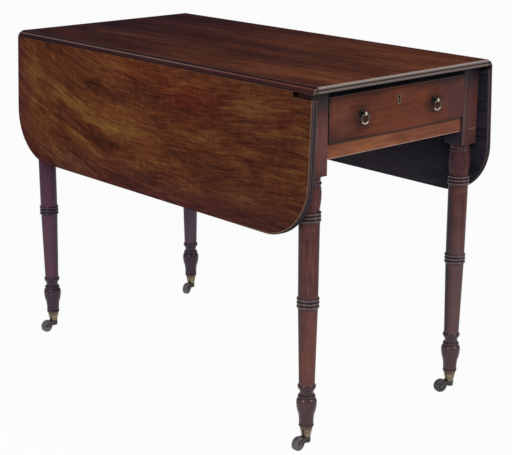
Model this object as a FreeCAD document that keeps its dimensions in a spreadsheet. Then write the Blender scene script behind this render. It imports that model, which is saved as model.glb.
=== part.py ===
import FreeCAD, Part
import math
import os
import re
import Sketcher
from FreeCAD import Placement, Rotation, Vector

# A pembroke table: fixed top, two drop leaves on rule joints, a frieze drawer, four turned legs on
# castors. X runs across the table to the right leaf, -Y points out of the drawer end, Z is up from
# the floor. Every length is in millimetres and every angle in degrees.

doc = FreeCAD.newDocument("pembroke_table")
sheet = doc.addObject("Spreadsheet::Sheet", "sizes")

driving = {
    # top and leaves
    "table_height": 720,
    "top_length": 966,
    "bed_width": 478,
    "board_thickness": 13.5,
    "rule_fillet": 2.5,
    "rule_clearance": 0.6,
    "lip_gap": 0.5,
    "leaf_drop": 278.5,
    "leaf_corner": 115,
    "leaf_hang": 2.5,
    "notch_length": 55,
    "notch_depth": 12,
    "reed_depth": 2.5,
    # leg from the top down, then from the floor up: lengths along it and widths across the turning
    "leg_square": 45,
    "leg_edge_round": 1.2,
    "leg_setback": 2.5,
    "end_overhang": 22,
    "block_length": 159.5,
    "neck_length": 11,
    "neck_width": 40,
    "collar_height": 6,
    "collar_proud": 2.25,
    "vase_shoulder": 18,
    "vase_swell": 2.25,
    "vase_length": 30,
    "vase_taper": 3.25,
    "vase_fillet": 2,
    "bead_depth": 2.6,
    "top_beads_height": 21,
    "top_beads_width": 45,
    "upper_shaft_length": 148,
    "upper_shaft_head_width": 40.6,
    "upper_shaft_foot_width": 38.9,
    "mid_beads_height": 22,
    "mid_beads_width": 44,
    "lower_shaft_head_width": 38.2,
    "lower_shaft_foot_width": 31.2,
    "low_ring_height": 11,
    "low_ring_proud": 2.5,
    "ankle_flare": 6,
    "ankle_length": 6,
    "ankle_width": 27,
    "crown_ring_height": 6,
    "crown_ring_width": 34.6,
    "crown_ring_proud": 1.5,
    "bulb_shoulder": 9,
    "bulb_shoulder_fall": 3.5,
    "bulb_swell": 6.75,
    "bulb_body_length": 24,
    "bulb_body_taper": 4.25,
    "bulb_stem_length": 20,
    "bulb_stem_taper": 1.6,
    "bulb_hollow": 0.6,
    "bulb_fillet": 2,
    "foot_ring_height": 5,
    "foot_ring_proud": 1.75,
    # castors
    "cup_mouth_width": 26.5,
    "cup_base_width": 17.7,
    "cup_base": 25,
    "cup_height": 21,
    "cup_wall": 1.2,
    "cup_floor": 3,
    "cup_rim": 1.8,
    "stem_width": 7,
    "swivel_gap": 0.3,
    "trail_clearance": 7,
    "wheel_diameter": 28,
    "wheel_thickness": 10,
    "wheel_round": 1.5,
    "wheel_gap": 0.8,
    "wheel_side_gap": 0.4,
    "axle_width": 4,
    "axle_head_width": 5.4,
    "axle_head_thickness": 1,
    "running_fit": 0.05,
    "horn_boss_width": 18,
    "horn_boss_height": 11.5,
    "horn_shoulder": 8,
    "horn_arm_depth": 8.5,
    "horn_eye_width": 7,
    "horn_cheek": 2,
    "swivel_near_left": 90,
    "swivel_near_right": 68,
    "swivel_far_left": 96,
    "swivel_far_right": 110,
    # rails and what guides the drawer
    "frieze_depth": 130.5,
    "drawer_rail_height": 28,
    "drawer_rail_setback": 4.5,
    "top_rail_height": 13.5,
    "rail_depth": 40,
    "rail_setback": 0.8,
    "side_rail_thickness": 24,
    "tenon_length": 22,
    "tenon_thickness": 9,
    "tenon_wall": 7.2,
    "tenon_shoulder": 3,
    "tenon_inset": 6,
    "runner_width": 24,
    "runner_height": 16,
    "kicker_height": 13.5,
    "stop_spread": 100,
    "stop_width": 30,
    "stop_depth": 12,
    "stop_height": 5,
    "stop_gap": 0.2,
    "top_screw_inset": 116,
    "top_screw_head_width": 8,
    "top_screw_head": 3,
    "top_screw_width": 4,
    "top_screw_bite": 9,
    # drawer
    "front_thickness": 20,
    "front_top_gap": 0.8,
    "front_bottom_gap": 1.8,
    "drawer_left_gap": 3.2,
    "drawer_right_gap": 0.5,
    "drawer_ride": 0.3,
    "drawer_length": 560,
    "side_thickness": 9,
    "side_drop": 7.9,
    "back_thickness": 9,
    "bottom_thickness": 6,
    "bottom_rise": 8,
    "groove_depth": 4,
    "tail_length": 15,
    "tail_root": 12,
    "tail_tip": 17,
    # lock
    "lock_width": 60,
    "lock_height": 44,
    "lock_depth": 9,
    "bolt_width": 24,
    "bolt_thickness": 5,
    "bolt_length": 18,
    "bolt_throw": 6,
    "bolt_gap": 0.3,
    "key_drop": 21,
    "key_width": 6,
    "key_slot_width": 3.2,
    "key_slot_drop": 11,
    "escutcheon_rim": 2.2,
    "escutcheon_depth": 2,
    "escutcheon_proud": 0.3,
    # ring pulls
    "pull_spread": 102,
    "pull_lift": 4,
    "eye_reach": 9,
    "eye_width": 8,
    "eye_play": 0.12,
    "stud_width": 5,
    "rosette_width": 15,
    "rosette_thickness": 1.2,
    "rosette_rim": 2,
    "ring_width": 19,
    "ring_wire": 3,
    "nut_width": 11,
    "nut_thickness": 4,
    "stud_tip": 1,
    "far_stud_length": 15,
    # leaf hinges
    "hinge_inset": 133,
    "hinge_width": 36,
    "plate_thickness": 2,
    "top_flap": 38,
    "leaf_flap": 50,
    "knuckle_width": 6,
    "knuckle_gap": 0.3,
    "middle_knuckle": 13,
    "hinge_pin_width": 3,
    "screw_head_width": 7,
    "screw_width": 3.4,
    "screw_sink": 1.8,
    "screw_length": 10,
    "screw_margin": 8,
    "screw_near": 22,
    # fly rails and brackets
    "fly_thickness": 15,
    "bracket_tip_gap": 16,
    "bracket_reach": 200,
    "bracket_rise": 14,
    "bracket_top_gap": 3,
    "bracket_side_gap": 0.3,
    "wood_knuckle_gap": 0.4,
    "fly_pin_width": 5,
    "finger_cove": 32,
    # how far a cutting shape runs past the face that it cuts
    "overrun": 2,
}

# Places worked out from the driving sizes.
places = {
    "top_under": "table_height - board_thickness",
    "top_half": "top_length / 2",
    "hinge_x": "bed_width / 2",
    "hinge_z": "top_under + plate_thickness / 2",
    "rule_radius": "table_height - rule_fillet - hinge_z",
    "cove_radius": "rule_radius + rule_clearance",
    "leaf_inner": "-plate_thickness / 2",
    "leaf_outer": "board_thickness - plate_thickness / 2",
    "leg_x": "hinge_x - leg_setback - leg_square / 2",
    "leg_y": "top_half - end_overhang - leg_square / 2",
    "leg_inner_x": "leg_x - leg_square / 2",
    "leg_inner_y": "leg_y - leg_square / 2",
    "block_bottom": "top_under - block_length",
    "collar_top": "block_bottom - neck_length",
    "collar_bottom": "collar_top - collar_height",
    "collar_width": "neck_width + 2 * collar_proud",
    "vase_belly": "collar_bottom - vase_shoulder",
    "vase_width": "neck_width + 2 * vase_swell",
    "vase_foot": "vase_belly - vase_length",
    "vase_foot_width": "vase_width - 2 * vase_taper",
    "top_beads_top": "vase_foot - vase_fillet",
    "top_beads_bottom": "top_beads_top - top_beads_height",
    "mid_beads_top": "top_beads_bottom - upper_shaft_length",
    "mid_beads_bottom": "mid_beads_top - mid_beads_height",
    "foot_ring_bottom": "cup_base + cup_height",
    "foot_ring_top": "foot_ring_bottom + foot_ring_height",
    "foot_ring_width": "cup_mouth_width + 2 * foot_ring_proud",
    "bulb_foot": "foot_ring_top + bulb_fillet",
    "bulb_waist": "bulb_foot + bulb_stem_length",
    "bulb_belly": "bulb_waist + bulb_body_length",
    "bulb_width": "ankle_width + 2 * bulb_swell",
    "bulb_waist_width": "bulb_width - 2 * bulb_body_taper",
    "bulb_foot_width": "bulb_waist_width - 2 * bulb_stem_taper",
    "crown_bottom": "bulb_belly + bulb_shoulder",
    "crown_top": "crown_bottom + crown_ring_height",
    "ankle_height": "crown_top + ankle_length",
    "low_ring_bottom": "ankle_height + ankle_flare",
    "low_ring_top": "low_ring_bottom + low_ring_height",
    "low_ring_width": "lower_shaft_foot_width + 2 * low_ring_proud",
    "front_y": "leg_y + leg_square / 2 - rail_setback",
    "rail_face_y": "leg_y + leg_square / 2 - drawer_rail_setback",
    "rail_back_y": "front_y - rail_depth",
    "rail_bottom": "top_under - frieze_depth",
    "rail_top": "rail_bottom + drawer_rail_height",
    "end_tenon_y": "front_y - tenon_inset - tenon_thickness",
    "hinge_spread": "top_half - hinge_inset",
    "top_screw_spread": "leg_inner_y - top_screw_inset",
    "top_rail_bottom": "top_under - top_rail_height",
    "fly_x": "leg_inner_x + side_rail_thickness",
    "fly_axis": "fly_x + fly_thickness / 2",
    "bracket_half": "fly_thickness / 2 - bracket_side_gap",
    "fly_half": "leg_inner_y - bracket_tip_gap - bracket_reach",
    "bracket_bottom": "rail_bottom + bracket_rise",
    "bracket_top": "top_under - bracket_top_gap",
    "bracket_level": "(bracket_top - bracket_bottom) / knuckle_levels",
    "front_back": "front_thickness - front_y",
    "drawer_half": "leg_inner_x - drawer_left_gap",
    "front_bottom": "rail_top + front_bottom_gap",
    "front_top": "top_rail_bottom - front_top_gap",
    "side_bottom": "rail_top + drawer_ride",
    "side_top": "front_top - side_drop",
    "side_height": "side_top - side_bottom",
    "drawer_end": "drawer_length - front_y",
    "panel_bottom": "side_bottom + bottom_rise",
    "panel_top": "panel_bottom + bottom_thickness",
    "key_z": "front_top - key_drop",
    "bolt_y": "front_back - lock_depth / 2",
    "eye_height": "(front_bottom + front_top) / 2 + pull_lift",
    "ring_radius": "ring_width / 2",
    "ring_sag": "ring_radius - sqrt(ring_radius ^ 2 - (eye_width / 2) ^ 2)",
    "eye_bore": "ring_wire + 2 * (ring_sag + eye_play)",
    "wheel_radius": "wheel_diameter / 2",
    "castor_trail": "wheel_radius + trail_clearance",
    "horn_top": "cup_base - swivel_gap",
    "horn_bottom": "horn_top - horn_boss_height",
    "slot_half": "wheel_thickness / 2 + wheel_side_gap",
    "horn_half": "slot_half + horn_cheek",
    "foot_end": "cup_base + cup_floor",
}
knuckle_levels = 5
dovetails = 3
beads = 3
places["knuckle_levels"] = str(knuckle_levels)

for row, (name, value) in enumerate(driving.items(), start=1):
    sheet.set(f"A{row}", name)
    sheet.set(f"B{row}", str(value))
    sheet.setAlias(f"B{row}", name)
doc.recompute()

nodes = {}


def bind(text):
    """Write a formula of sizes and places as an expression on the sheet's cells."""
    def word(match):
        name = match[0]
        if name in places:
            return f"({bind(places[name])})"
        return f"sizes.{name}" if name in driving else name
    return re.sub(r"[a-z][a-z_]*", word, text)


def number(text):
    return float(sheet.evalExpression(bind(text)))


def node(name, piece):
    piece.Label = name
    nodes[name] = piece
    return piece


# Part primitives and booleans

def place(piece, x, y, z):
    for axis, text in zip("xyz", (x, y, z)):
        piece.setExpression(f"Placement.Base.{axis}", bind(text))
    return piece


def box(name, x, y, z, size):
    piece = doc.addObject("Part::Box", name)
    for side, text in zip(("Length", "Width", "Height"), size):
        piece.setExpression(side, bind(text))
    return place(piece, x, y, z)


def span(name, x, y, z):
    """A box given by its two ends along each axis."""
    size = [f"({high}) - ({low})" for low, high in (x, y, z)]
    return box(name, x[0], y[0], z[0], size)


directions = {"x": Vector(1, 0, 0), "y": Vector(0, 1, 0), "z": Vector(0, 0, 1)}


def turn(piece, axis):
    piece.Placement = Placement(Vector(), Rotation(directions["z"], directions[axis]))
    return piece


def rod(name, axis, x, y, z, width, length):
    piece = turn(doc.addObject("Part::Cylinder", name), axis)
    piece.setExpression("Radius", bind(f"({width}) / 2"))
    piece.setExpression("Height", bind(length))
    return place(piece, x, y, z)


def cone(name, axis, x, y, z, widths, length):
    piece = turn(doc.addObject("Part::Cone", name), axis)
    piece.setExpression("Radius1", bind(f"({widths[0]}) / 2"))
    piece.setExpression("Radius2", bind(f"({widths[1]}) / 2"))
    piece.setExpression("Height", bind(length))
    return place(piece, x, y, z)


def hoop(name, axis, x, y, z, width, wire):
    """A torus, given by the width across its wire's centre line and by the wire's width."""
    piece = turn(doc.addObject("Part::Torus", name), axis)
    piece.setExpression("Radius1", bind(f"({width}) / 2"))
    piece.setExpression("Radius2", bind(f"({wire}) / 2"))
    return place(piece, x, y, z)


def ball(name, x, y, z, width):
    piece = doc.addObject("Part::Sphere", name)
    piece.setExpression("Radius", bind(f"({width}) / 2"))
    return place(piece, x, y, z)


def group(name, pieces):
    piece = doc.addObject("Part::Compound", name)
    piece.Links = pieces
    return piece


def fuse(name, pieces):
    piece = doc.addObject("Part::MultiFuse", name)
    piece.Shapes = pieces
    return piece


def cut(name, base, tools):
    piece = doc.addObject("Part::Cut", name)
    piece.Base = base
    piece.Tool = tools[0] if len(tools) == 1 else group(f"{name}_tools", tools)
    return piece


def mirror(name, source):
    """The same piece on the other side of the table's middle."""
    piece = doc.addObject("Part::Mirroring", name)
    piece.Source = source
    piece.Normal = directions["x"]
    return piece


# Sketches and the features on them

def plane(body, role):
    return next(feature for feature in body.Origin.OriginFeatures if feature.Role == role)


def new_sketch(body, role, name, offset=None):
    sketch = body.newObject("Sketcher::SketchObject", name)
    sketch.AttachmentSupport = (plane(body, role), [""])
    sketch.MapMode = "FlatFace"
    for axis, text in (offset or {}).items():
        sketch.setExpression(f"AttachmentOffset.Base.{axis}", bind(text))
    return sketch


def limit(sketch, kind, where, text):
    index = sketch.addConstraint(Sketcher.Constraint(kind, *where, number(text)))
    sketch.setExpression(f"Constraints[{index}]", bind(text))


def edge(start, end, bend):
    """A line, or an arc that bulges to the left or right of its travel, and which of its ends is its
    start: an arc runs counter-clockwise."""
    if bend is None:
        return Part.LineSegment(start, end), 1
    radius, side = number(bend[0]), bend[1]
    along = end - start
    left = Vector(-along.y, along.x, 0).normalize()
    out = left if side == "left" else -left
    rise = math.sqrt(max(radius ** 2 - (along.Length / 2) ** 2, 0))
    centre = (start + end) / 2 - out * rise
    first, last = (end, start) if side == "left" else (start, end)
    begin = math.atan2(first.y - centre.y, first.x - centre.x)
    sweep = math.atan2(last.y - centre.y, last.x - centre.x) - begin
    circle = Part.Circle(centre, directions["z"], radius)
    return Part.ArcOfCircle(circle, begin, begin + sweep % (2 * math.pi)), 2 if side == "left" else 1


def outline(sketch, corners, closed=True):
    """Lines and arcs through the corners: (u, v), or (u, v, (radius, side)) where an arc follows."""
    points = [Vector(number(corner[0]), number(corner[1]), 0) for corner in corners]
    ends = points[1:] + points[:1]
    starts = []
    count = len(points) if closed else len(points) - 1
    for index in range(count):
        bend = corners[index][2] if len(corners[index]) > 2 else None
        shape, first = edge(points[index], ends[index], bend)
        sketch.addGeometry(shape)
        starts.append(first)
        if bend:
            limit(sketch, "Radius", (index,), bend[0])
    for index in range(count if closed else count - 1):
        following = (index + 1) % count
        sketch.addConstraint(
            Sketcher.Constraint("Coincident", index, 3 - starts[index], following, starts[following]))
    for index in range(len(points)):
        where = (index, starts[index]) if index < count else (index - 1, 3 - starts[index - 1])
        limit(sketch, "DistanceX", (-1, 1, *where), corners[index][0])
        limit(sketch, "DistanceY", (-1, 1, *where), corners[index][1])
    return sketch


def new_body(name):
    return doc.addObject("PartDesign::Body", name)


def pad(body, sketch, length, both_ways=False):
    feature = body.newObject("PartDesign::Pad", f"{sketch.Name}_pad")
    feature.Profile = sketch
    feature.SideType = "Symmetric" if both_ways else "One side"
    feature.setExpression("Length", bind(length))
    return feature


def pocket_through(body, sketch):
    feature = body.newObject("PartDesign::Pocket", f"{sketch.Name}_pocket")
    feature.Profile = sketch
    feature.SideType = "Symmetric"
    feature.Type = "ThroughAll"
    return feature


def revolve(body, sketch, axis):
    feature = body.newObject("PartDesign::Revolution", f"{sketch.Name}_turning")
    feature.Profile = sketch
    feature.ReferenceAxis = (sketch, [axis])
    feature.Angle = 360
    return feature


def bow(chord, rise):
    """Radius of the arc over a chord with a given rise."""
    return f"((({chord}) / 2) ^ 2 + ({rise}) ^ 2) / (2 * ({rise}))"


def swell(rise, run):
    """Radius of the arc that leaves a belly upright and falls in by a rise over a run."""
    return f"(({rise}) ^ 2 + ({run}) ^ 2) / (2 * ({rise}))"


reed_bow = bow("board_thickness / 2", "reed_depth")


# Leaf hinges: iron plates let in flush, with the pin on the hinge line

def screw(name, axis, x, y, z):
    head = cone(f"{name}_head", axis, x, y, z, ("screw_head_width", "screw_width"), "screw_sink")
    shank = rod(f"{name}_shank", axis, x, y, z, "screw_width", "screw_length")
    return fuse(name, [head, shank])


def hinge_places():
    return [f"({step}) * hinge_spread" for step in (-1, 0, 1)]


def outer_knuckles(y):
    """The two stretches of the hinge line that belong to the plate in the top."""
    inner = "middle_knuckle / 2 + knuckle_gap"
    return [(f"{y} - hinge_width / 2", f"{y} - ({inner})"), (f"{y} + {inner}", f"{y} + hinge_width / 2")]


def top_hinge(index, y):
    name = f"top_flap_{index}"
    z = ("hinge_z - plate_thickness / 2", "hinge_z + plate_thickness / 2")
    shoulder = "hinge_x - knuckle_width / 2 - knuckle_gap"
    parts = [span(f"{name}_plate", ("hinge_x - top_flap", shoulder),
                  (f"{y} - hinge_width / 2", f"{y} + hinge_width / 2"), z)]
    for place_index, (low, high) in enumerate(outer_knuckles(y)):
        parts.append(span(f"{name}_tongue_{place_index}", (shoulder, "hinge_x"), (low, high), z))
        parts.append(rod(f"{name}_knuckle_{place_index}", "y", "hinge_x", low, "hinge_z",
                         "knuckle_width", f"({high}) - ({low})"))
    pin = rod(f"hinge_pin_{index}", "y", "hinge_x", f"{y} - hinge_width / 2", "hinge_z",
              "hinge_pin_width", "hinge_width")
    spots = [("screw_near", f"{y} - hinge_width / 2 + screw_margin"),
             ("screw_near", f"{y} + hinge_width / 2 - screw_margin"),
             ("top_flap - screw_margin", y)]
    screws = [screw(f"{name}_screw_{spot}", "z", f"hinge_x - ({reach})", across, "top_under")
              for spot, (reach, across) in enumerate(spots)]
    plate = cut(name, fuse(f"{name}_blank", parts), [pin] + screws)
    wide = (f"{y} - hinge_width / 2 - knuckle_gap", f"{y} + hinge_width / 2 + knuckle_gap")
    groove = rod(f"{name}_groove", "y", "hinge_x", wide[0], "hinge_z",
                 "knuckle_width + 2 * knuckle_gap", f"({wide[1]}) - ({wide[0]})")
    mouth = span(f"{name}_mouth", (shoulder, "hinge_x"), wide, ("top_under - overrun", "hinge_z"))
    slot = span(f"{name}_slot", ("hinge_x", "hinge_x + rule_radius + overrun"), wide,
                ("top_under - overrun", "hinge_z + plate_thickness / 2 + knuckle_gap"))
    return plate, pin, screws, [groove, mouth, slot]


def leaf_hinge(index, y):
    """The flap on the hanging leaf, drawn with the hinge line through the origin."""
    name = f"leaf_flap_{index}"
    x = ("leaf_inner", "plate_thickness / 2")
    shoulder = "-(knuckle_width / 2 + knuckle_gap)"
    middle = (f"{y} - middle_knuckle / 2", f"{y} + middle_knuckle / 2")
    parts = [span(f"{name}_plate", x, (f"{y} - hinge_width / 2", f"{y} + hinge_width / 2"),
                  ("-leaf_flap", shoulder)),
             span(f"{name}_tongue", x, middle, (shoulder, "0")),
             rod(f"{name}_knuckle", "y", "0", middle[0], "0", "knuckle_width", "middle_knuckle")]
    bore = rod(f"{name}_bore", "y", "0", f"{middle[0]} - overrun", "0",
               "hinge_pin_width + 2 * running_fit", "middle_knuckle + 2 * overrun")
    spots = [("screw_near", f"{y} - hinge_width / 2 + screw_margin"),
             ("screw_near", f"{y} + hinge_width / 2 - screw_margin"),
             ("leaf_flap - screw_margin", y)]
    screws = [screw(f"{name}_screw_{spot}", "x", "leaf_inner", across, f"-({reach})")
              for spot, (reach, across) in enumerate(spots)]
    return cut(name, fuse(f"{name}_blank", parts), [bore] + screws), screws


# Fixed top: the rule joint's ovolo on both long sides, two reeds on both ends

def make_top_board():
    body = new_body("top_blank")
    section = new_sketch(body, "XZ_Plane", "top_section")
    ovolo = ("rule_radius", "left")
    outline(section, [
        ("-hinge_x", "table_height"),
        ("hinge_x", "table_height"),
        ("hinge_x", "table_height - rule_fillet", ovolo),
        ("hinge_x + rule_radius", "hinge_z"),
        ("hinge_x + rule_radius", "top_under"),
        ("-(hinge_x + rule_radius)", "top_under"),
        ("-(hinge_x + rule_radius)", "hinge_z", ovolo),
        ("-hinge_x", "table_height - rule_fillet"),
    ])
    pad(body, section, "top_length", both_ways=True)
    reeds = new_sketch(body, "YZ_Plane", "top_reeds")
    outline(reeds, [
        ("top_half - reed_depth", "table_height", (reed_bow, "left")),
        ("top_half - reed_depth", "table_height - board_thickness / 2", (reed_bow, "left")),
        ("top_half - reed_depth", "top_under"),
        ("top_half + overrun", "top_under"),
        ("top_half + overrun", "table_height"),
    ])
    cove = pocket_through(body, reeds)
    other_end = body.newObject("PartDesign::Mirrored", "top_reeds_far")
    other_end.Originals = [cove]
    other_end.MirrorPlane = (plane(body, "XZ_Plane"), [""])
    body.Tip = other_end
    return body


# Right leaf, drawn hanging upright with the hinge line through the origin

def make_leaf_board():
    body = new_body("leaf_blank")
    face = new_sketch(body, "YZ_Plane", "leaf_face", {"z": "leaf_inner"})
    corner = ("leaf_corner", "left")
    outline(face, [
        ("-top_half", "-lip_gap"),
        ("top_half", "-lip_gap"),
        ("top_half", "leaf_corner - leaf_drop", corner),
        ("top_half - leaf_corner", "-leaf_drop"),
        ("leaf_corner - top_half", "-leaf_drop", corner),
        ("-top_half", "leaf_corner - leaf_drop"),
    ])
    pad(body, face, "board_thickness")
    rim = new_sketch(body, "YZ_Plane", "leaf_rim")
    bend = ("leaf_corner", "right")
    outline(rim, [
        ("-top_half", "overrun"),
        ("-top_half", "leaf_corner - leaf_drop", bend),
        ("leaf_corner - top_half", "-leaf_drop"),
        ("top_half - leaf_corner", "-leaf_drop", bend),
        ("top_half", "leaf_corner - leaf_drop"),
        ("top_half", "overrun"),
    ], closed=False)
    reeds = new_sketch(body, "XY_Plane", "leaf_reeds", {"z": "overrun"})
    outline(reeds, [
        ("leaf_inner", "reed_depth - top_half", (reed_bow, "right")),
        ("leaf_inner + board_thickness / 2", "reed_depth - top_half", (reed_bow, "right")),
        ("leaf_outer", "reed_depth - top_half"),
        ("leaf_outer", "-top_half - overrun"),
        ("leaf_inner", "-top_half - overrun"),
    ])
    doc.recompute()
    moulding = body.newObject("PartDesign::SubtractivePipe", "leaf_moulding")
    moulding.Profile = reeds
    moulding.Spine = (rim, [""])
    cove = new_sketch(body, "XZ_Plane", "leaf_cove")
    cove.addGeometry(Part.Circle(Vector(), directions["z"], number("cove_radius")))
    cove.addConstraint(Sketcher.Constraint("Coincident", 0, 3, -1, 1))
    limit(cove, "Radius", (0,), "cove_radius")
    pocket_through(body, cove)
    return body


def hang(piece):
    """Put a piece of the right leaf on its hinge line, leaning on the legs."""
    piece.Placement = Placement(Vector(), Rotation(Vector(0, -1, 0), number("leaf_hang")))
    piece.setExpression("Placement.Rotation.Angle", bind("leaf_hang"))
    return place(piece, "hinge_x", "0", "hinge_z")


# Turned legs: a square block over a shaft, foot in the castor's cup

def bead_run(bottom, top, base, rise):
    """Corners of the beads that fill a height one above the other."""
    height = f"(({top}) - ({bottom})) / {beads}"
    arc = (bow(height, rise), "right")
    return [(base, f"({bottom}) + {step} * ({height})", arc) for step in range(beads)] + [(base, top)]


def leg_profile():
    neck = "neck_width / 2"
    ring_base = "lower_shaft_foot_width / 2"
    foot_base = "cup_mouth_width / 2"
    crown_base = "crown_ring_width / 2 - crown_ring_proud"
    return [
        ("0", "foot_end"),
        ("cup_base_width / 2 - cup_wall", "foot_end"),
        ("cup_mouth_width / 2 - cup_wall", "foot_ring_bottom"),
        (foot_base, "foot_ring_bottom",
         (bow("foot_ring_top - foot_ring_bottom", f"foot_ring_width / 2 - {foot_base}"), "right")),
        (foot_base, "foot_ring_top"),
        ("bulb_foot_width / 2", "bulb_foot", (bow("bulb_stem_length", "bulb_hollow"), "left")),
        ("bulb_waist_width / 2", "bulb_waist", (swell("bulb_body_taper", "bulb_body_length"), "right")),
        ("bulb_width / 2", "bulb_belly", (swell("bulb_shoulder_fall", "bulb_shoulder"), "right")),
        ("bulb_width / 2 - bulb_shoulder_fall", "crown_bottom"),
        (crown_base, "crown_bottom", (bow("crown_ring_height", "crown_ring_proud"), "right")),
        (crown_base, "crown_top"),
        ("ankle_width / 2", "crown_top"),
        ("ankle_width / 2", "ankle_height"),
        (ring_base, "low_ring_bottom",
         (bow("low_ring_top - low_ring_bottom", f"low_ring_width / 2 - {ring_base}"), "right")),
        (ring_base, "low_ring_top"),
        ("lower_shaft_head_width / 2", "mid_beads_bottom"),
        *bead_run("mid_beads_bottom", "mid_beads_top", "mid_beads_width / 2 - bead_depth", "bead_depth"),
        ("upper_shaft_foot_width / 2", "mid_beads_top"),
        ("upper_shaft_head_width / 2", "top_beads_bottom"),
        *bead_run("top_beads_bottom", "top_beads_top", "top_beads_width / 2 - bead_depth", "bead_depth"),
        ("vase_foot_width / 2", "top_beads_top"),
        ("vase_foot_width / 2", "vase_foot",
         (swell("(vase_width - vase_foot_width) / 2", "vase_belly - vase_foot"), "right")),
        ("vase_width / 2", "vase_belly",
         (swell("(vase_width - neck_width) / 2", "collar_bottom - vase_belly"), "right")),
        (neck, "collar_bottom",
         (bow("collar_top - collar_bottom", f"collar_width / 2 - {neck}"), "right")),
        (neck, "collar_top"),
        (neck, "block_bottom + overrun"),
        ("0", "block_bottom + overrun"),
    ]


def make_leg_blank(name, x, y):
    body = new_body(f"{name}_blank")
    shaft = new_sketch(body, "XZ_Plane", f"{name}_shaft")
    outline(shaft, leg_profile())
    revolve(body, shaft, "V_Axis")
    square = new_sketch(body, "XY_Plane", f"{name}_square", {"z": "block_bottom"})
    half = "leg_square / 2"
    flat = "leg_square / 2 - leg_edge_round"
    arc = ("leg_edge_round", "right")
    outline(square, [
        (f"-({flat})", f"-({half})"),
        (flat, f"-({half})", arc),
        (half, f"-({flat})"),
        (half, flat, arc),
        (flat, half),
        (f"-({flat})", half, arc),
        (f"-({half})", flat),
        (f"-({half})", f"-({flat})", arc),
    ])
    pad(body, square, "top_under - block_bottom")
    return place(body, x, y, "0")


# Rails with their tenons

def make_side_rail():
    x = ("leg_inner_x", "fly_x")
    z = ("rail_bottom", "top_under")
    web = span("side_rail_web", x, ("-leg_inner_y", "leg_inner_y"), z)
    middle = "(leg_inner_x + fly_x) / 2"
    tenon = span("side_rail_tenon", (f"{middle} - tenon_thickness / 2", f"{middle} + tenon_thickness / 2"),
                 ("tenon_wall - end_tenon_y", "end_tenon_y - tenon_wall"),
                 ("rail_bottom + tenon_shoulder", "top_under - tenon_shoulder"))
    return fuse("side_rail_right", [web, tenon])


def signed(end, low, high):
    """A stretch along Y at one end of the table, given by its distances from the middle."""
    return (low, high) if end > 0 else (f"-({high})", f"-({low})")


def make_end_rail(name, end, face, bottom, top):
    """A rail across one end of the frame; end is -1 at the drawer and 1 at the far end."""
    web = span(f"{name}_web", ("-leg_inner_x", "leg_inner_x"), signed(end, "rail_back_y", face),
               (bottom, top))
    tenon = span(f"{name}_tenon", ("-leg_inner_x - tenon_length", "leg_inner_x + tenon_length"),
                 signed(end, "end_tenon_y", "end_tenon_y + tenon_thickness"),
                 (f"{bottom} + tenon_shoulder", f"{top} - tenon_shoulder"))
    return fuse(name, [web, tenon])


# Fly rail and brackets of the right side: wooden knuckles on iron pins

def level(index):
    return f"bracket_bottom + {index} * bracket_level"


def make_fly_pin(end):
    return rod(f"fly_pin_{end}", "z", "fly_axis", f"{end} * fly_half", "rail_bottom",
               "fly_pin_width", "top_under - rail_bottom")


def make_fly_rail(pins):
    parts = [span("fly_rail_web", ("fly_x", "fly_x + fly_thickness"), ("-fly_half", "fly_half"),
                  ("rail_bottom", "top_under"))]
    cuts = list(pins.values())
    for end in pins:
        y = f"{end} * fly_half"
        parts.append(rod(f"fly_knuckle_{end}", "z", "fly_axis", y, "rail_bottom", "fly_thickness",
                         "top_under - rail_bottom"))
        for index in range(1, knuckle_levels, 2):
            cuts.append(rod(f"fly_slot_{end}_{index}", "z", "fly_axis", y,
                            f"{level(index)} - wood_knuckle_gap",
                            "2 * (bracket_half + wood_knuckle_gap)",
                            "bracket_level + 2 * wood_knuckle_gap"))
    return cut("fly_rail_right", fuse("fly_rail_blank", parts), cuts)


def make_fly_bracket(name, end):
    y = f"{end} * fly_half"
    height = "bracket_top - bracket_bottom"
    arm = span(f"{name}_arm", ("fly_axis - bracket_half", "fly_axis + bracket_half"),
               signed(end, "fly_half", "fly_half + bracket_reach"), ("bracket_bottom", "bracket_top"))
    barrel = rod(f"{name}_barrel", "z", "fly_axis", y, "bracket_bottom", "2 * bracket_half", height)
    cuts = [rod(f"{name}_bore", "z", "fly_axis", y, "bracket_bottom - overrun",
                "fly_pin_width + 2 * running_fit", f"{height} + 2 * overrun"),
            rod(f"{name}_cove", "x", "fly_x - overrun", f"{end} * (fly_half + bracket_reach)",
                "bracket_bottom", "2 * finger_cove", "fly_thickness + 2 * overrun")]
    for index in range(0, knuckle_levels, 2):
        low = f"{level(index)} - overrun" if index == 0 else level(index)
        high = f"{level(index + 1)} + overrun" if index + 1 == knuckle_levels else level(index + 1)
        cuts.append(rod(f"{name}_slot_{index}", "z", "fly_axis", y, low,
                        "fly_thickness + 2 * wood_knuckle_gap", f"({high}) - ({low})"))
    return cut(name, fuse(f"{name}_blank", [arm, barrel]), cuts)


# Drawer: lapped dovetails at the front, through dovetails at the back, bottom in grooves

def tail_run(root_y, tip_y, upwards):
    """Corners of the dovetails along one end of a drawer side."""
    pitch = f"side_height / {dovetails}"
    corners = []
    for step in range(dovetails):
        middle = f"side_bottom + ({step} + 0.5) * {pitch}"
        corners += [(root_y, f"{middle} - tail_root / 2"), (tip_y, f"{middle} - tail_tip / 2"),
                    (tip_y, f"{middle} + tail_tip / 2"), (root_y, f"{middle} + tail_root / 2")]
    return corners if upwards else corners[::-1]


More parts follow.
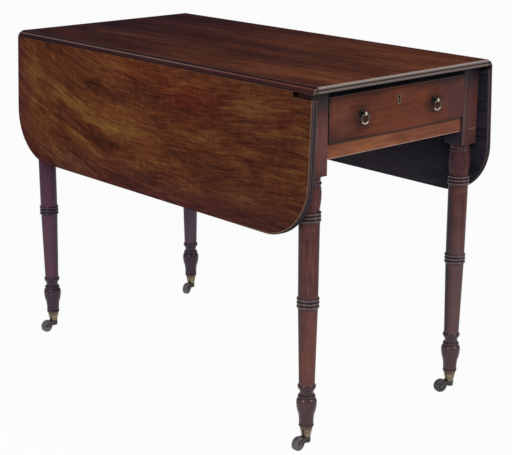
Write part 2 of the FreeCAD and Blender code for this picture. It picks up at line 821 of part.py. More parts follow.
def make_drawer_side():
    body = new_body("drawer_side_blank")
    face = new_sketch(body, "YZ_Plane", "drawer_side_face", {"z": "drawer_half - side_thickness"})
    back = "drawer_end - back_thickness"
    outline(face, [
        ("front_back", "side_bottom"),
        (back, "side_bottom"),
        *tail_run(back, "drawer_end", True),
        (back, "side_top"),
        ("front_back", "side_top"),
        *tail_run("front_back", "front_back - tail_length", False),
    ])
    pad(body, face, "side_thickness")
    return body


def keyhole(name, y, length, rim):
    """A keyhole's shape through the drawer front, drawn larger by a rim."""
    eye = rod(f"{name}_eye", "y", "0", y, "key_z", f"key_width + 2 * {rim}", length)
    slot = box(f"{name}_slot", f"-key_slot_width / 2 - {rim}", y, f"key_z - key_slot_drop - {rim}",
               (f"key_slot_width + 2 * {rim}", length, f"key_slot_drop + {rim}"))
    return fuse(name, [eye, slot])


# Ring pulls: a cast rosette with its eye and stud, and the ring that hangs in the eye

def make_rosette(name, side, end):
    """One rosette; its stud goes through the drawer front, or into the false front at the far end."""
    x = f"{side} * pull_spread"
    depth = "front_thickness + nut_thickness + stud_tip" if end < 0 else "far_stud_length"
    plate = rod(f"{name}_plate", "y", x, signed(end, "front_y", "front_y + rosette_thickness")[0], "eye_height",
                "rosette_width", "rosette_thickness")
    rim = hoop(f"{name}_rim", "y", x, f"{end} * (front_y + rosette_thickness)", "eye_height",
               "rosette_width - rosette_rim", "rosette_rim")
    face = span(f"{name}_face", (f"{x} - rosette_width", f"{x} + rosette_width"),
                signed(end, "front_y", "front_y + eye_reach"),
                ("eye_height - rosette_width", "eye_height + rosette_width"))
    rim = common(f"{name}_rim_front", rim, face)
    low, high = signed(end, f"front_y - ({depth})", "front_y + eye_reach")
    stud = rod(f"{name}_stud", "y", x, low, "eye_height", "stud_width", f"({high}) - ({low})")
    eye = ball(f"{name}_eye", x, f"{end} * (front_y + eye_reach)", "eye_height", "eye_width")
    bore = rod(f"{name}_bore", "x", f"{x} - eye_width", f"{end} * (front_y + eye_reach)", "eye_height",
               "eye_bore", "2 * eye_width")
    return cut(name, fuse(f"{name}_blank", [plate, rim, stud, eye]), [bore]), stud


def common(name, first, second):
    piece = doc.addObject("Part::Common", name)
    piece.Base = first
    piece.Tool = second
    return piece


def make_ring(name, side, end):
    return hoop(name, "y", f"{side} * pull_spread", f"{end} * (front_y + eye_reach)",
                "eye_height - ring_radius", "2 * ring_radius", "ring_wire")


def make_nut(name, side, stud):
    blank = turn(doc.addObject("Part::Prism", f"{name}_blank"), "y")
    blank.Polygon = 6
    blank.setExpression("Circumradius", bind("nut_width / 2"))
    blank.setExpression("Height", bind("nut_thickness"))
    place(blank, f"{side} * pull_spread", "front_back", "eye_height")
    return cut(name, blank, [stud])


# Castors: a cup on the foot, a horn that swivels on the cup's stem, a wheel that trails behind it

def make_cup(name, x, y):
    depth = "foot_ring_bottom - cup_base"
    shell = cone(f"{name}_shell", "z", x, y, "cup_base", ("cup_base_width", "cup_mouth_width"), depth)
    rim = hoop(f"{name}_rim", "z", x, y, "foot_ring_bottom - cup_rim / 2",
               "cup_mouth_width - cup_wall", "cup_rim")
    stem = rod(f"{name}_stem", "z", x, y, "horn_bottom", "stem_width", "foot_end - horn_bottom")
    hollow = cone(f"{name}_hollow", "z", x, y, "foot_end",
                  ("cup_base_width - 2 * cup_wall", "cup_mouth_width - 2 * cup_wall"),
                  "foot_ring_bottom - foot_end")
    return cut(name, fuse(f"{name}_blank", [shell, rim, stem]), [hollow])


def swivel(piece, name, x, y):
    """Put a castor's piece under its leg, turned to where the castor trails."""
    piece.Placement = Placement(Vector(), Rotation(directions["z"], number(f"swivel_{name}")))
    piece.setExpression("Placement.Rotation.Angle", bind(f"swivel_{name}"))
    return place(piece, x, y, "0")


def make_horn(name):
    """The casting of one castor, trailing towards +Y before it is turned."""
    body = new_body(f"{name}_arm")
    side = new_sketch(body, "YZ_Plane", f"{name}_side")
    outline(side, [
        ("0", "horn_top - horn_arm_depth"),
        ("castor_trail", "wheel_radius - horn_eye_width / 2"),
        ("castor_trail", "wheel_radius + horn_eye_width / 2"),
        ("horn_shoulder", "horn_top"),
        ("0", "horn_top"),
    ])
    pad(body, side, "2 * horn_half", both_ways=True)
    boss = rod(f"{name}_boss", "z", "0", "0", "horn_bottom", "horn_boss_width", "horn_boss_height")
    eye = rod(f"{name}_eye", "x", "-horn_half", "castor_trail", "wheel_radius", "horn_eye_width",
              "2 * horn_half")
    slot = rod(f"{name}_slot", "x", "-slot_half", "castor_trail", "wheel_radius",
               "wheel_diameter + 2 * wheel_gap", "2 * slot_half")
    bore = rod(f"{name}_bore", "z", "0", "0", "horn_bottom - overrun", "stem_width + 2 * running_fit",
               "horn_boss_height + 2 * overrun")
    hole = rod(f"{name}_hole", "x", "-horn_half - overrun", "castor_trail", "wheel_radius", "axle_width",
               "2 * (horn_half + overrun)")
    return cut(name, fuse(f"{name}_blank", [body, boss, eye]), [slot, bore, hole])


def make_axle(name):
    shaft = rod(f"{name}_shaft", "x", "-horn_half", "castor_trail", "wheel_radius", "axle_width",
                "2 * horn_half")
    heads = [rod(f"{name}_head_{index}", "x", start, "castor_trail", "wheel_radius", "axle_head_width",
                 "axle_head_thickness")
             for index, start in enumerate(("-horn_half - axle_head_thickness", "horn_half"))]
    return fuse(name, [shaft] + heads)


def make_wheel(name):
    body = new_body(name)
    section = new_sketch(body, "XZ_Plane", f"{name}_section", {"y": "wheel_radius", "z": "-castor_trail"})
    bore = "axle_width / 2 + running_fit"
    half = "wheel_thickness / 2"
    flat = "wheel_thickness / 2 - wheel_round"
    arc = ("wheel_round", "left")
    outline(section, [
        (f"-({half})", bore),
        (f"-({half})", "wheel_radius - wheel_round", arc),
        (f"-({flat})", "wheel_radius"),
        (flat, "wheel_radius", arc),
        (half, "wheel_radius - wheel_round"),
        (half, bore),
    ])
    revolve(body, section, "H_Axis")
    return body


# The top with its hinges and screws

hinges = [top_hinge(index, y) for index, y in enumerate(hinge_places())]
right_plates = group("right_top_flaps", [hinge[0] for hinge in hinges])
right_pins = group("right_hinge_pins", [hinge[1] for hinge in hinges])
right_screws = group("right_top_flap_screws", [screw_piece for hinge in hinges for screw_piece in hinge[2]])
right_reliefs = group("right_hinge_reliefs", [relief for hinge in hinges for relief in hinge[3]])
node("hinge_plates_top", group("hinge_plates", [right_plates, mirror("left_top_flaps", right_plates)]))
node("hinge_pins", group("pins_of_hinges", [right_pins, mirror("left_hinge_pins", right_pins)]))
node("hinge_screws_top", group("top_flap_screws",
                               [right_screws, mirror("left_top_flap_screws", right_screws)]))

top_screws = []
for side in (-1, 1):
    for step in (-1, 0, 1):
        name = f"top_screw_{side}_{step}"
        x = f"{side} * (leg_inner_x - runner_width / 2)"
        y = f"{step} * top_screw_spread"
        start = "top_under - kicker_height"
        head = rod(f"{name}_head", "z", x, y, start, "top_screw_head_width", "top_screw_head")
        shank = rod(f"{name}_shank", "z", x, y, start, "top_screw_width", "kicker_height + top_screw_bite")
        top_screws.append(fuse(name, [head, shank]))
node("top_screws", group("screws_of_top", top_screws))

node("table_top", cut("top_board", make_top_board(), [
    nodes["hinge_plates_top"], nodes["hinge_screws_top"], nodes["top_screws"],
    right_reliefs, mirror("left_hinge_reliefs", right_reliefs)]))

# The leaves with their flaps

flaps = [leaf_hinge(index, y) for index, y in enumerate(hinge_places())]
flap_plates = group("right_leaf_flaps", [flap[0] for flap in flaps])
flap_screws = group("right_leaf_flap_screws", [screw_piece for flap in flaps for screw_piece in flap[1]])
leaf_board = cut("right_leaf_board", make_leaf_board(), [flap_plates, flap_screws])
hung = {}
for kind, piece in (("leaf", leaf_board), ("hinge_plates", flap_plates), ("hinge_screws", flap_screws)):
    right = hang(group(f"{kind}_hung", [piece]))
    hung[kind] = mirror(f"{kind}_mirrored", right)
    node(f"{kind}_right", right)
# The left leaf's lip is broken away at the drawer end
notch = span("lip_notch", ("leaf_inner - overrun", "leaf_outer + overrun"),
             ("-top_half - overrun", "notch_length - top_half"), ("-notch_depth", "overrun"))
hung_notch = hang(group("lip_notch_hung", [notch]))
node("leaf_left", cut("left_leaf_board", hung["leaf"], [mirror("lip_notch_mirrored", hung_notch)]))
node("hinge_plates_left", hung["hinge_plates"])
node("hinge_screws_left", hung["hinge_screws"])

# The frame

side_rail = make_side_rail()
node("side_rail_right", side_rail)
node("side_rail_left", mirror("side_rail_mirrored", side_rail))
node("drawer_rail", make_end_rail("near_lower_rail", -1, "rail_face_y", "rail_bottom", "rail_top"))
node("far_rail", make_end_rail("far_lower_rail", 1, "rail_face_y", "rail_bottom", "rail_top"))
near_top_rail = make_end_rail("near_upper_rail", -1, "front_y", "top_rail_bottom", "top_under")
bolt_x = ("-bolt_width / 2 - bolt_gap", "bolt_width / 2 + bolt_gap")
bolt_across = ("bolt_y - bolt_thickness / 2 - bolt_gap", "bolt_y + bolt_thickness / 2 + bolt_gap")
bolt_mortise = span("bolt_mortise", bolt_x, bolt_across,
                    ("top_rail_bottom - overrun", "front_top + bolt_throw + bolt_gap"))
node("top_rail", cut("near_top_rail", near_top_rail, [bolt_mortise]))
node("far_top_rail", make_end_rail("far_upper_rail", 1, "front_y", "top_rail_bottom", "top_under"))
frame_rails = [nodes[name] for name in ("side_rail_right", "side_rail_left", "drawer_rail", "far_rail",
                                        "far_top_rail")] + [near_top_rail]

legs = {}
for end_name, end in (("near", -1), ("far", 1)):
    for side_name, side in (("left", -1), ("right", 1)):
        legs[f"{end_name}_{side_name}"] = (f"{side} * leg_x", f"{end} * leg_y")
for name, (x, y) in legs.items():
    node(f"leg_{name}", cut(f"{name}_leg", make_leg_blank(name, x, y), frame_rails))

runner_x = ("leg_inner_x - runner_width", "leg_inner_x")
runner_y = ("-rail_back_y", "rail_back_y")
runner = span("right_runner", runner_x, runner_y, ("rail_top - runner_height", "rail_top"))
node("drawer_runners", group("runners", [runner, mirror("left_runner", runner)]))
kicker = span("right_kicker_blank", runner_x, runner_y, ("top_under - kicker_height", "top_under"))
kickers = group("kicker_blanks", [kicker, mirror("left_kicker_blank", kicker)])
node("drawer_kickers", cut("kickers", kickers, [nodes["top_screws"]]))
stop_y = ("front_back + stop_gap", "front_back + stop_gap + stop_depth")
stop = span("right_stop", ("stop_spread - stop_width / 2", "stop_spread + stop_width / 2"), stop_y,
            ("rail_top", "rail_top + stop_height"))
node("drawer_stops", group("stops", [stop, mirror("left_stop", stop)]))

# Fly rails and brackets

right_fly_pins = {end: make_fly_pin(end) for end in (-1, 1)}
fly_pins = group("right_fly_pins", list(right_fly_pins.values()))
node("fly_pins", group("pins_of_brackets", [fly_pins, mirror("left_fly_pins", fly_pins)]))
fly_rail = make_fly_rail(right_fly_pins)
node("fly_rail_right", fly_rail)
node("fly_rail_left", mirror("fly_rail_mirrored", fly_rail))
for end_name, end in (("near", -1), ("far", 1)):
    bracket = make_fly_bracket(f"{end_name}_bracket", end)
    node(f"fly_bracket_{end_name}_right", bracket)
    node(f"fly_bracket_{end_name}_left", mirror(f"{end_name}_bracket_mirrored", bracket))

# Pulls at both ends

studs = {}
for end_name, end in (("near", -1), ("far", 1)):
    rosettes = []
    for side_name, side in (("left", -1), ("right", 1)):
        name = f"{end_name}_{side_name}"
        rosette, studs[name] = make_rosette(f"rosette_{name}", side, end)
        rosettes.append(rosette)
        node(f"ring_pull_{name}", make_ring(f"ring_{name}", side, end))
    node("pull_rosettes" if end < 0 else "far_pull_rosettes", group(f"{end_name}_rosettes", rosettes))
node("pull_nuts", group("nuts", [make_nut("left_nut", -1, studs["near_left"]),
                                 make_nut("right_nut", 1, studs["near_right"])]))

# Drawer and false front

side_blank = make_drawer_side()
other_side_blank = mirror("drawer_side_mirrored", side_blank)
groove_half = "drawer_half - side_thickness + groove_depth"
panel = span("drawer_panel", (f"-({groove_half})", groove_half),
             ("front_back - groove_depth", "drawer_end"), ("panel_bottom", "panel_top"))
node("drawer_bottom", panel)
node("drawer_side_right", cut("right_drawer_side", side_blank, [panel]))
node("drawer_side_left", cut("left_drawer_side", other_side_blank, [panel]))
back_blank = span("drawer_back_blank", ("-drawer_half", "drawer_half"),
                  ("drawer_end - back_thickness", "drawer_end"), ("panel_top", "side_top"))
node("drawer_back", cut("back_of_drawer", back_blank, [side_blank, other_side_blank]))

lock_blank = span("lock_blank", ("-lock_width / 2", "lock_width / 2"),
                  ("front_back - lock_depth", "front_back"), ("front_top - lock_height", "front_top"))
bolt_way = span("bolt_way", bolt_x, bolt_across, ("front_top - bolt_length", "front_top + overrun"))
node("lock_case", cut("case_of_lock", lock_blank, [bolt_way]))
node("lock_bolt", span("bolt", ("-bolt_width / 2", "bolt_width / 2"),
                       ("bolt_y - bolt_thickness / 2", "bolt_y + bolt_thickness / 2"),
                       ("front_top - bolt_length", "front_top")))
escutcheon_y = "-front_y - escutcheon_proud"
escutcheon_length = "escutcheon_proud + escutcheon_depth"
escutcheon_blank = keyhole("escutcheon_blank", escutcheon_y, escutcheon_length, "escutcheon_rim")
key_way = keyhole("key_way", escutcheon_y, "escutcheon_proud + front_thickness - lock_depth", "0")
node("keyhole_escutcheon", cut("escutcheon", escutcheon_blank, [key_way]))
front_blank = span("drawer_front_blank", ("-drawer_half", "leg_inner_x - drawer_right_gap"),
                   ("-front_y", "front_back"), ("front_bottom", "front_top"))
node("drawer_front", cut("front_of_drawer", front_blank, [
    side_blank, other_side_blank, panel, lock_blank, escutcheon_blank, key_way,
    studs["near_left"], studs["near_right"]]))
false_blank = span("false_front_blank", ("-leg_inner_x", "leg_inner_x"),
                   ("front_y - front_thickness", "front_y"), ("rail_top", "top_rail_bottom"))
node("false_front", cut("front_at_far_end", false_blank, [studs["far_left"], studs["far_right"]]))

# Castors

node("castor_cups", group("cups", [make_cup(f"cup_{name}", x, y) for name, (x, y) in legs.items()]))
for name, (x, y) in legs.items():
    for kind, make in (("horn", make_horn), ("axle", make_axle), ("wheel", make_wheel)):
        node(f"castor_{kind}_{name}", swivel(make(f"{kind}_of_{name}"), name, x, y))

# Check everything, then write each sub-part

doc.recompute()
failed = [item.Name for item in doc.Objects if {"Invalid", "Error"} & set(item.State)]
failed += [name for name, piece in nodes.items() if piece.Shape.isNull() or not piece.Shape.isValid()]
failed += [name for name, piece in nodes.items() if not piece.Shape.Solids]
if failed:
    raise RuntimeError(f"not built: {failed}")
os.makedirs("parts", exist_ok=True)
for name, piece in nodes.items():
    piece.Shape.exportStep(f"parts/{name}.step")
print(f"{len(nodes)} sub-parts written")
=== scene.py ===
import math
import bpy
from mathutils import Matrix, Vector


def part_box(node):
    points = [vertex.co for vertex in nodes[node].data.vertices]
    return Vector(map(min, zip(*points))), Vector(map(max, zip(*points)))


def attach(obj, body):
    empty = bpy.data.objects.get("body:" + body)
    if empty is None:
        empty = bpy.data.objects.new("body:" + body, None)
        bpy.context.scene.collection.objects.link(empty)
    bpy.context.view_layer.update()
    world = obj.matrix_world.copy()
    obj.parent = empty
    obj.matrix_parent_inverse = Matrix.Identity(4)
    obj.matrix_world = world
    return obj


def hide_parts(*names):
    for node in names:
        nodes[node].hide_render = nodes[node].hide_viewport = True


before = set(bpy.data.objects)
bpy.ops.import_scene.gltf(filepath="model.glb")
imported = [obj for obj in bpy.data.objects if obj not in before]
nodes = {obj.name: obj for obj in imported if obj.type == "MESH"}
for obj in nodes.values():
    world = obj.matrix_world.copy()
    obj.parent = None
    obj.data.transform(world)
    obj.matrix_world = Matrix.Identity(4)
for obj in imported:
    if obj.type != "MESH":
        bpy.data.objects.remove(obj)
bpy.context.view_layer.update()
scene = bpy.context.scene
scene.view_settings.view_transform = "Standard"
corners = ("near_left", "near_right", "far_left", "far_right")
print("frame loaded,", len(nodes), "nodes")


# small helpers for node trees

def plug(tree, socket, value):
    if isinstance(value, bpy.types.NodeSocket):
        tree.links.new(value, socket)
    else:
        socket.default_value = value


def put(tree, kind, settings=None, inputs=None):
    node = tree.nodes.new(kind)
    for key, value in (settings or {}).items():
        setattr(node, key, value)
    for key, value in (inputs or {}).items():
        plug(tree, node.inputs[key], value)
    return node


def add(tree, kind, settings=None, inputs=None):
    return put(tree, "ShaderNode" + kind, settings, inputs)


def calc(tree, operation, first, second=0.0, clamp=False):
    node = add(tree, "Math", {"operation": operation, "use_clamp": clamp}, {0: first, 1: second})
    return node.outputs[0]


def joinXYZ(tree, x, y=0.0, z=0.0):
    return add(tree, "CombineXYZ", None, {0: x, 1: y, 2: z}).outputs[0]


def splitXYZ(tree, vector):
    return add(tree, "SeparateXYZ", None, {0: vector}).outputs


def length(tree, vector):
    return add(tree, "VectorMath", {"operation": "LENGTH"}, {0: vector}).outputs["Value"]


def ease(tree, value, low, high, start=0.0, end=1.0):
    node = add(tree, "MapRange", {"interpolation_type": "SMOOTHSTEP"},
               {0: value, 1: low, 2: high, 3: start, 4: end})
    return node.outputs[0]


def mixColour(tree, amount, first, second, mode="MIX"):
    node = add(tree, "Mix", {"data_type": "RGBA", "blend_type": mode}, {0: amount})
    for index, colour in ((6, first), (7, second)):
        plug(tree, node.inputs[index], colour if isinstance(colour, bpy.types.NodeSocket) else (*colour, 1))
    return node.outputs[2]


def ramp(tree, value, stops):
    node = add(tree, "ValToRGB", None, {0: value})
    elements = node.color_ramp.elements
    while len(elements) < len(stops):
        elements.new(0.5)
    for element, (position, colour) in zip(elements, stops):
        element.position = position
        element.color = (*colour, 1)
    return node.outputs[0]


def noise(tree, vector, scale, detail=3.0, roughness=0.5, distortion=0.0):
    return add(tree, "TexNoise", None, {"Vector": vector, "Scale": scale, "Detail": detail,
                                        "Roughness": roughness, "Distortion": distortion}).outputs[0]


def grainNoise(tree, directions, stretch, scale, texture):
    # noise drawn out along the grain
    along, across, depth = directions
    return noise(tree, joinXYZ(tree, calc(tree, "MULTIPLY", along, stretch), across, depth), scale, *texture)


def newMaterial(name):
    material = bpy.data.materials.new(name)
    material.use_nodes = True
    tree = material.node_tree
    tree.nodes.clear()
    shader = add(tree, "BsdfPrincipled")
    output = add(tree, "OutputMaterial")
    tree.links.new(shader.outputs[0], output.inputs[0])
    return material, tree, shader


def dress(material, names):
    for name in names:
        nodes[name].data.materials.clear()
        nodes[name].data.materials.append(material)


# masks for worn and highlighted edges, shaded and dirty corners, stained and moulded places

maskLook = {"blotCore": 0.15, "bevelSamples": 6, "edgeSamples": 8, "edgeRange": (0.15, 0.5),
            "openSamples": 6, "openRange": (0.35, 0.85), "bandEdge": 0.0003}


def blot(tree, point, centre, size):
    # a soft ellipsoid, 1 in its middle and 0 at its rim
    offset = add(tree, "VectorMath", {"operation": "SUBTRACT"}, {0: point, 1: centre}).outputs[0]
    share = add(tree, "VectorMath", {"operation": "DIVIDE"}, {0: offset, 1: size}).outputs[0]
    return ease(tree, length(tree, share), 1.0, maskLook["blotCore"])


def softArris(tree, radius, reach):
    # rounded arrises, with a mask of convex edges and reed crowns, which are painted paler as worn polish
    # and painted highlight
    bevel = add(tree, "Bevel", {"samples": maskLook["bevelSamples"]}, {"Radius": radius})
    settings = {"samples": maskLook["edgeSamples"], "inside": True, "only_local": True}
    solid = add(tree, "AmbientOcclusion", settings, {"Distance": reach})
    paleEdgeMask = calc(tree, "SUBTRACT", 1.0, solid.outputs["AO"], clamp=True)
    return bevel.outputs[0], ease(tree, paleEdgeMask, *maskLook["edgeRange"])


def crevice(tree, reach):
    # 0 in corners and quirks, 1 on open faces; the corners and quirks are darkened as painted shade and
    # grime
    settings = {"samples": maskLook["openSamples"]}
    openness = add(tree, "AmbientOcclusion", settings, {"Distance": reach}).outputs["AO"]
    return ease(tree, openness, *maskLook["openRange"])


def tinge(tree, mask, colour, paint):
    # a paint either covers the colour or, with "times", multiplies it and lets the grain show through
    if "times" in paint:
        return mixColour(tree, mask, colour, paint["times"], "MULTIPLY")
    return mixColour(tree, mask, colour, paint["colour"])


def between(tree, value, low, high):
    # 1 inside a narrow range, 0 outside it
    edge = maskLook["bandEdge"]
    rising = ease(tree, value, low - edge, low + edge)
    return calc(tree, "MULTIPLY", rising, ease(tree, value, high + edge, high - edge))


def rimOf(tree, axes, rim):
    # how far a point stands out past the moulded rim of a board with round lower corners, 0 at its edge
    out = calc(tree, "SUBTRACT", calc(tree, "ABSOLUTE", axes[1]), rim["corner"][0])
    down = calc(tree, "SUBTRACT", rim["corner"][1], axes[2])
    both = joinXYZ(tree, calc(tree, "MAXIMUM", out, 0.0), calc(tree, "MAXIMUM", down, 0.0))
    return calc(tree, "SUBTRACT", length(tree, both), rim["radius"])


# polished mahogany: broad figure, streaks along the grain, open pores, corners darkened as painted shade and
# grime, arrises paler as worn polish and painted highlight

# detail, roughness and distortion of each layer of the grain
woodNoise = {"figure": (4.0, 0.58, 0.6), "streak": (5.0, 0.66, 0.12), "mottle": (3.0, 0.55, 0.8),
             "thread": (2.0, 0.6, 0.0), "pore": (2.0, 0.5, 0.0)}
woodDefaults = {
    "waveStretch": 2.2, "waveScale": 2.6, "mottleStretch": 2.5, "threadStretch": 0.09, "threadScale": 420.0,
    "poreStretch": 0.035, "poreScale": 760.0, "poreRange": (0.56, 0.72), "shadeAndGrimeReach": 0.012,
    "bump": 0.12, "bumpDepth": 0.0006, "roughRange": (0.2, 0.8), "roughSpread": 0.12, "ragged": (0.3, 0.5),
    "sweep": {"near": 0.0, "far": 0.0, "middle": 0.0}, "rim": {"corner": (0.0, 0.0), "radius": 1.0},
    "glows": (), "tints": (), "stainsAndPaintedLight": (),
    "rimBands": (), "sideBands": (), "heightBands": (), "glossBands": (),
}


def bendGrain(tree, along, across, depth, look):
    # grain that dips and rises along the board and wanders a little
    sweep = look["sweep"]
    for part, operation in (("far", "MAXIMUM"), ("near", "MINIMUM")):
        offset = calc(tree, operation, calc(tree, "SUBTRACT", along, sweep["middle"]), 0.0)
        rise = calc(tree, "MULTIPLY", calc(tree, "MULTIPLY", offset, offset), sweep[part])
        across = calc(tree, "SUBTRACT", across, rise)
    wander = joinXYZ(tree, calc(tree, "MULTIPLY", along, look["waveStretch"]), across, depth)
    wave = calc(tree, "SUBTRACT", noise(tree, wander, look["waveScale"]), 0.5)
    return calc(tree, "ADD", across, calc(tree, "MULTIPLY", wave, look["waver"]))


def woodTone(tree, along, across, layers, look):
    # 0 in the darkest wood, 1 in the palest
    tone = 0.5
    for kind in ("figure", "streak", "thread", "mottle"):
        swing = calc(tree, "SUBTRACT", layers[kind], 0.5)
        tone = calc(tree, "ADD", tone, calc(tree, "MULTIPLY", swing, look[kind + "Depth"]))
    sweep = look["sweep"]
    for (at, aside), size, shift in look["glows"]:  # lighter and darker patches that follow the grain
        offset = at - sweep["middle"]
        bent = aside - sweep["far" if offset > 0 else "near"] * offset ** 2
        mask = blot(tree, joinXYZ(tree, along, across), (at, bent, 0.0), (*size, 1.0))
        tone = calc(tree, "ADD", tone, calc(tree, "MULTIPLY", mask, shift))
    return calc(tree, "ADD", tone, 0.0, clamp=True)


def paintPatches(tree, point, axes, figure, colour, look):
    for wash in look["tints"]:  # slow changes of colour over the piece, some of them painted shade and highlight
        place = axes["XYZ".index(wash["axis"])]
        mask = ease(tree, place, wash["start"], wash["end"], 0.0, wash["amount"])
        colour = tinge(tree, mask, colour, wash)
    for paintSpot in look["stainsAndPaintedLight"]:  # patches of old polish and dirt, and of painted shade, highlight and reflection
        mask = calc(tree, "MULTIPLY", blot(tree, point, paintSpot["at"], paintSpot["size"]), paintSpot["amount"])
        if "times" in paintSpot:
            mask = calc(tree, "MULTIPLY", mask, ease(tree, figure, *look["ragged"]))
        colour = tinge(tree, mask, colour, paintSpot)
    return colour


def paintBands(tree, axes, colour, look):
    # reeds, arrises, quirks and turnings
    places = {"rimBands": rimOf(tree, axes, look["rim"]), "sideBands": calc(tree, "ABSOLUTE", axes[0]),
              "heightBands": axes[2]}
    for bands, place in places.items():
        for low, high, amount, shade, *stretch in look[bands]:
            mask = between(tree, place, low, high)
            if stretch:  # only over part of the length
                mask = calc(tree, "MULTIPLY", mask, ease(tree, axes[1], *stretch))
            colour = mixColour(tree, calc(tree, "MULTIPLY", mask, amount), colour, shade)
    return colour


def paintInner(tree, normal, axes, streaks, colour, inner):
    # an unpolished face turned away from sight, painted dark as stain and shade, darkest at the near end
    facing = splitXYZ(tree, normal)["XYZ".index(inner["axis"])]
    back = ease(tree, calc(tree, "MULTIPLY", facing, inner["side"]), *inner["turned"])
    if "above" in inner:
        back = calc(tree, "MULTIPLY", back, calc(tree, "GREATER_THAN", axes[2], inner["above"]))
    share = calc(tree, "ADD", ease(tree, streaks, *inner["streaks"], 0.0, inner["streakShare"]),
                 ease(tree, axes[1], *inner["fade"], 0.0, inner["fadeShare"]))
    return mixColour(tree, back, colour, mixColour(tree, share, inner["dark"], inner["light"]))


def mahogany(name, ownLook):
    look = {**woodDefaults, **ownLook}
    material, tree, shader = newMaterial(name)
    spot = add(tree, "TexCoord").outputs
    axes = splitXYZ(tree, spot["Object"])
    along, across, depth = [axes["XYZ".index(letter)] for letter in look["axes"]]
    across = bendGrain(tree, along, across, depth, look)
    directions = (along, across, depth)
    layers = {kind: grainNoise(tree, directions, look[kind + "Stretch"], look[kind + "Scale"], texture)
              for kind, texture in woodNoise.items()}
    streaks, pores = layers["streak"], layers["pore"]

    colour = ramp(tree, woodTone(tree, along, across, layers, look), look["stops"])
    openPores = ease(tree, pores, *look["poreRange"], 0.0, look["poreDepth"])
    colour = mixColour(tree, openPores, colour, look["pore"])
    colour = paintPatches(tree, spot["Object"], axes, layers["figure"], colour, look)
    colour = paintBands(tree, axes, colour, look)
    normal, paleEdgeMask = softArris(tree, look["arris"], look["paleEdgeReach"])
    # arrises and reed crowns paler: worn polish and painted highlight
    colour = mixColour(tree, calc(tree, "MULTIPLY", paleEdgeMask, look["paleEdgeShare"]), colour, look["wornAndHighlightColour"])
    # painted shade and grime in corners, quirks and between parts
    colour = mixColour(tree, crevice(tree, look["shadeAndGrimeReach"]), look["shadeAndGrime"], colour)
    if "inner" in look:
        colour = paintInner(tree, spot["Normal"], axes, streaks, colour, look["inner"])
    bump = add(tree, "Bump", None, {"Strength": look["bump"], "Distance": look["bumpDepth"],
                                    "Height": calc(tree, "SUBTRACT", streaks, pores), "Normal": normal})
    rough = ease(tree, streaks, *look["roughRange"], look["rough"], look["rough"] + look["roughSpread"])
    coat = look["coat"]
    for low, high in look["glossBands"]:  # turnings that have kept their polish
        kept = calc(tree, "MULTIPLY", between(tree, axes[2], low, high), look["glossCoat"])
        coat = calc(tree, "MAXIMUM", coat, kept)

    plug(tree, shader.inputs["Base Color"], colour)
    plug(tree, shader.inputs["Roughness"], rough)
    plug(tree, shader.inputs["Normal"], bump.outputs[0])
    plug(tree, shader.inputs["Coat Normal"], normal)
    plug(tree, shader.inputs["Coat Weight"], coat)
    shader.inputs["Specular IOR Level"].default_value = look["specular"]
    shader.inputs["Coat Roughness"].default_value = look["coatRough"]
    return material


# A glow is given by its middle along and across the grain, its half sizes and its change of tone.
# A band is given by its two edges, its share, its colour and, for some, the Y range it fades in over.

def tint(axis, start, end, amount, **paint):
    return {"axis": axis, "start": start, "end": end, "amount": amount, **paint}


def patch(at, size, amount, **paint):
    return {"at": at, "size": size, "amount": amount, **paint}


# fixed top

topLook = {
    "axes": "YXZ", "waver": 0.03,
    "figureStretch": 0.14, "figureScale": 16.0, "figureDepth": 0.8,
    "streakStretch": 0.07, "streakScale": 95.0, "streakDepth": 0.9,
    "mottleScale": 22.0, "mottleDepth": 0.25, "threadDepth": 0.35,
    "stops": [(0.12, (0.012, 0.0038, 0.0034)), (0.42, (0.0435, 0.0114, 0.0075)),
              (0.62, (0.073, 0.0206, 0.0102)), (0.9, (0.142, 0.046, 0.017))],
    "pore": (0.010, 0.004, 0.004), "poreDepth": 0.5, "arris": 0.0008, "paleEdgeShare": 0.42, "paleEdgeReach": 0.0012,
    "wornAndHighlightColour": (0.17, 0.138, 0.130), "shadeAndGrime": (0.006, 0.004, 0.004),
    "rim": {"corner": (0.368, 0.0), "radius": 0.115},
    # the two pale rim bands and the height band are painted highlights on the arris and the near end's upper
    # reed
    "rimBands": [(-0.0028, 0.001, 0.85, (0.060, 0.042, 0.040)), (-0.0006, 0.001, 0.8, (0.150, 0.122, 0.115)),
                 (-0.0032, -0.0018, 0.75, (0.40, 0.34, 0.30))],
    "heightBands": [(0.7178, 0.7192, 0.5, (0.40, 0.34, 0.30), -0.4795, -0.4808)],
    # the rule joint moulding: painted shadow lines under the arris and in the gap to the leaf, and a painted
    # highlight on the ovolo that fades out towards the near end
    "sideBands": [(0.2362, 0.2378, 0.35, (0.130, 0.062, 0.048)),
                  (0.2382, 0.2396, 0.85, (0.010, 0.006, 0.007)),
                  (0.2396, 0.2428, 0.6, (0.034, 0.013, 0.012)),
                  (0.2430, 0.2458, 0.5, (0.095, 0.040, 0.036)),
                  (0.2430, 0.2458, 0.5, (0.130, 0.102, 0.112), -0.40, -0.05),
                  (0.2462, 0.2510, 0.7, (0.016, 0.008, 0.010))],
    "rough": 0.4, "specular": 0.0, "coat": 0.05, "coatRough": 0.2,
    "glows": [((-0.40, -0.16), (0.32, 0.12), 0.22), ((-0.44, 0.12), (0.28, 0.16), 0.14),
              ((0.10, 0.02), (0.35, 0.06), -0.12), ((0.25, -0.10), (0.25, 0.03), 0.16),
              ((0.30, 0.10), (0.22, 0.035), 0.14), ((0.18, -0.20), (0.22, 0.025), -0.14)],
    # painted shade: darker and bluer towards the far end
    "tints": [tint("Y", -0.1, 0.48, 1.0, times=(0.43, 0.44, 0.92))],
}
dress(mahogany("mahogany_top", topLook), ["table_top"])
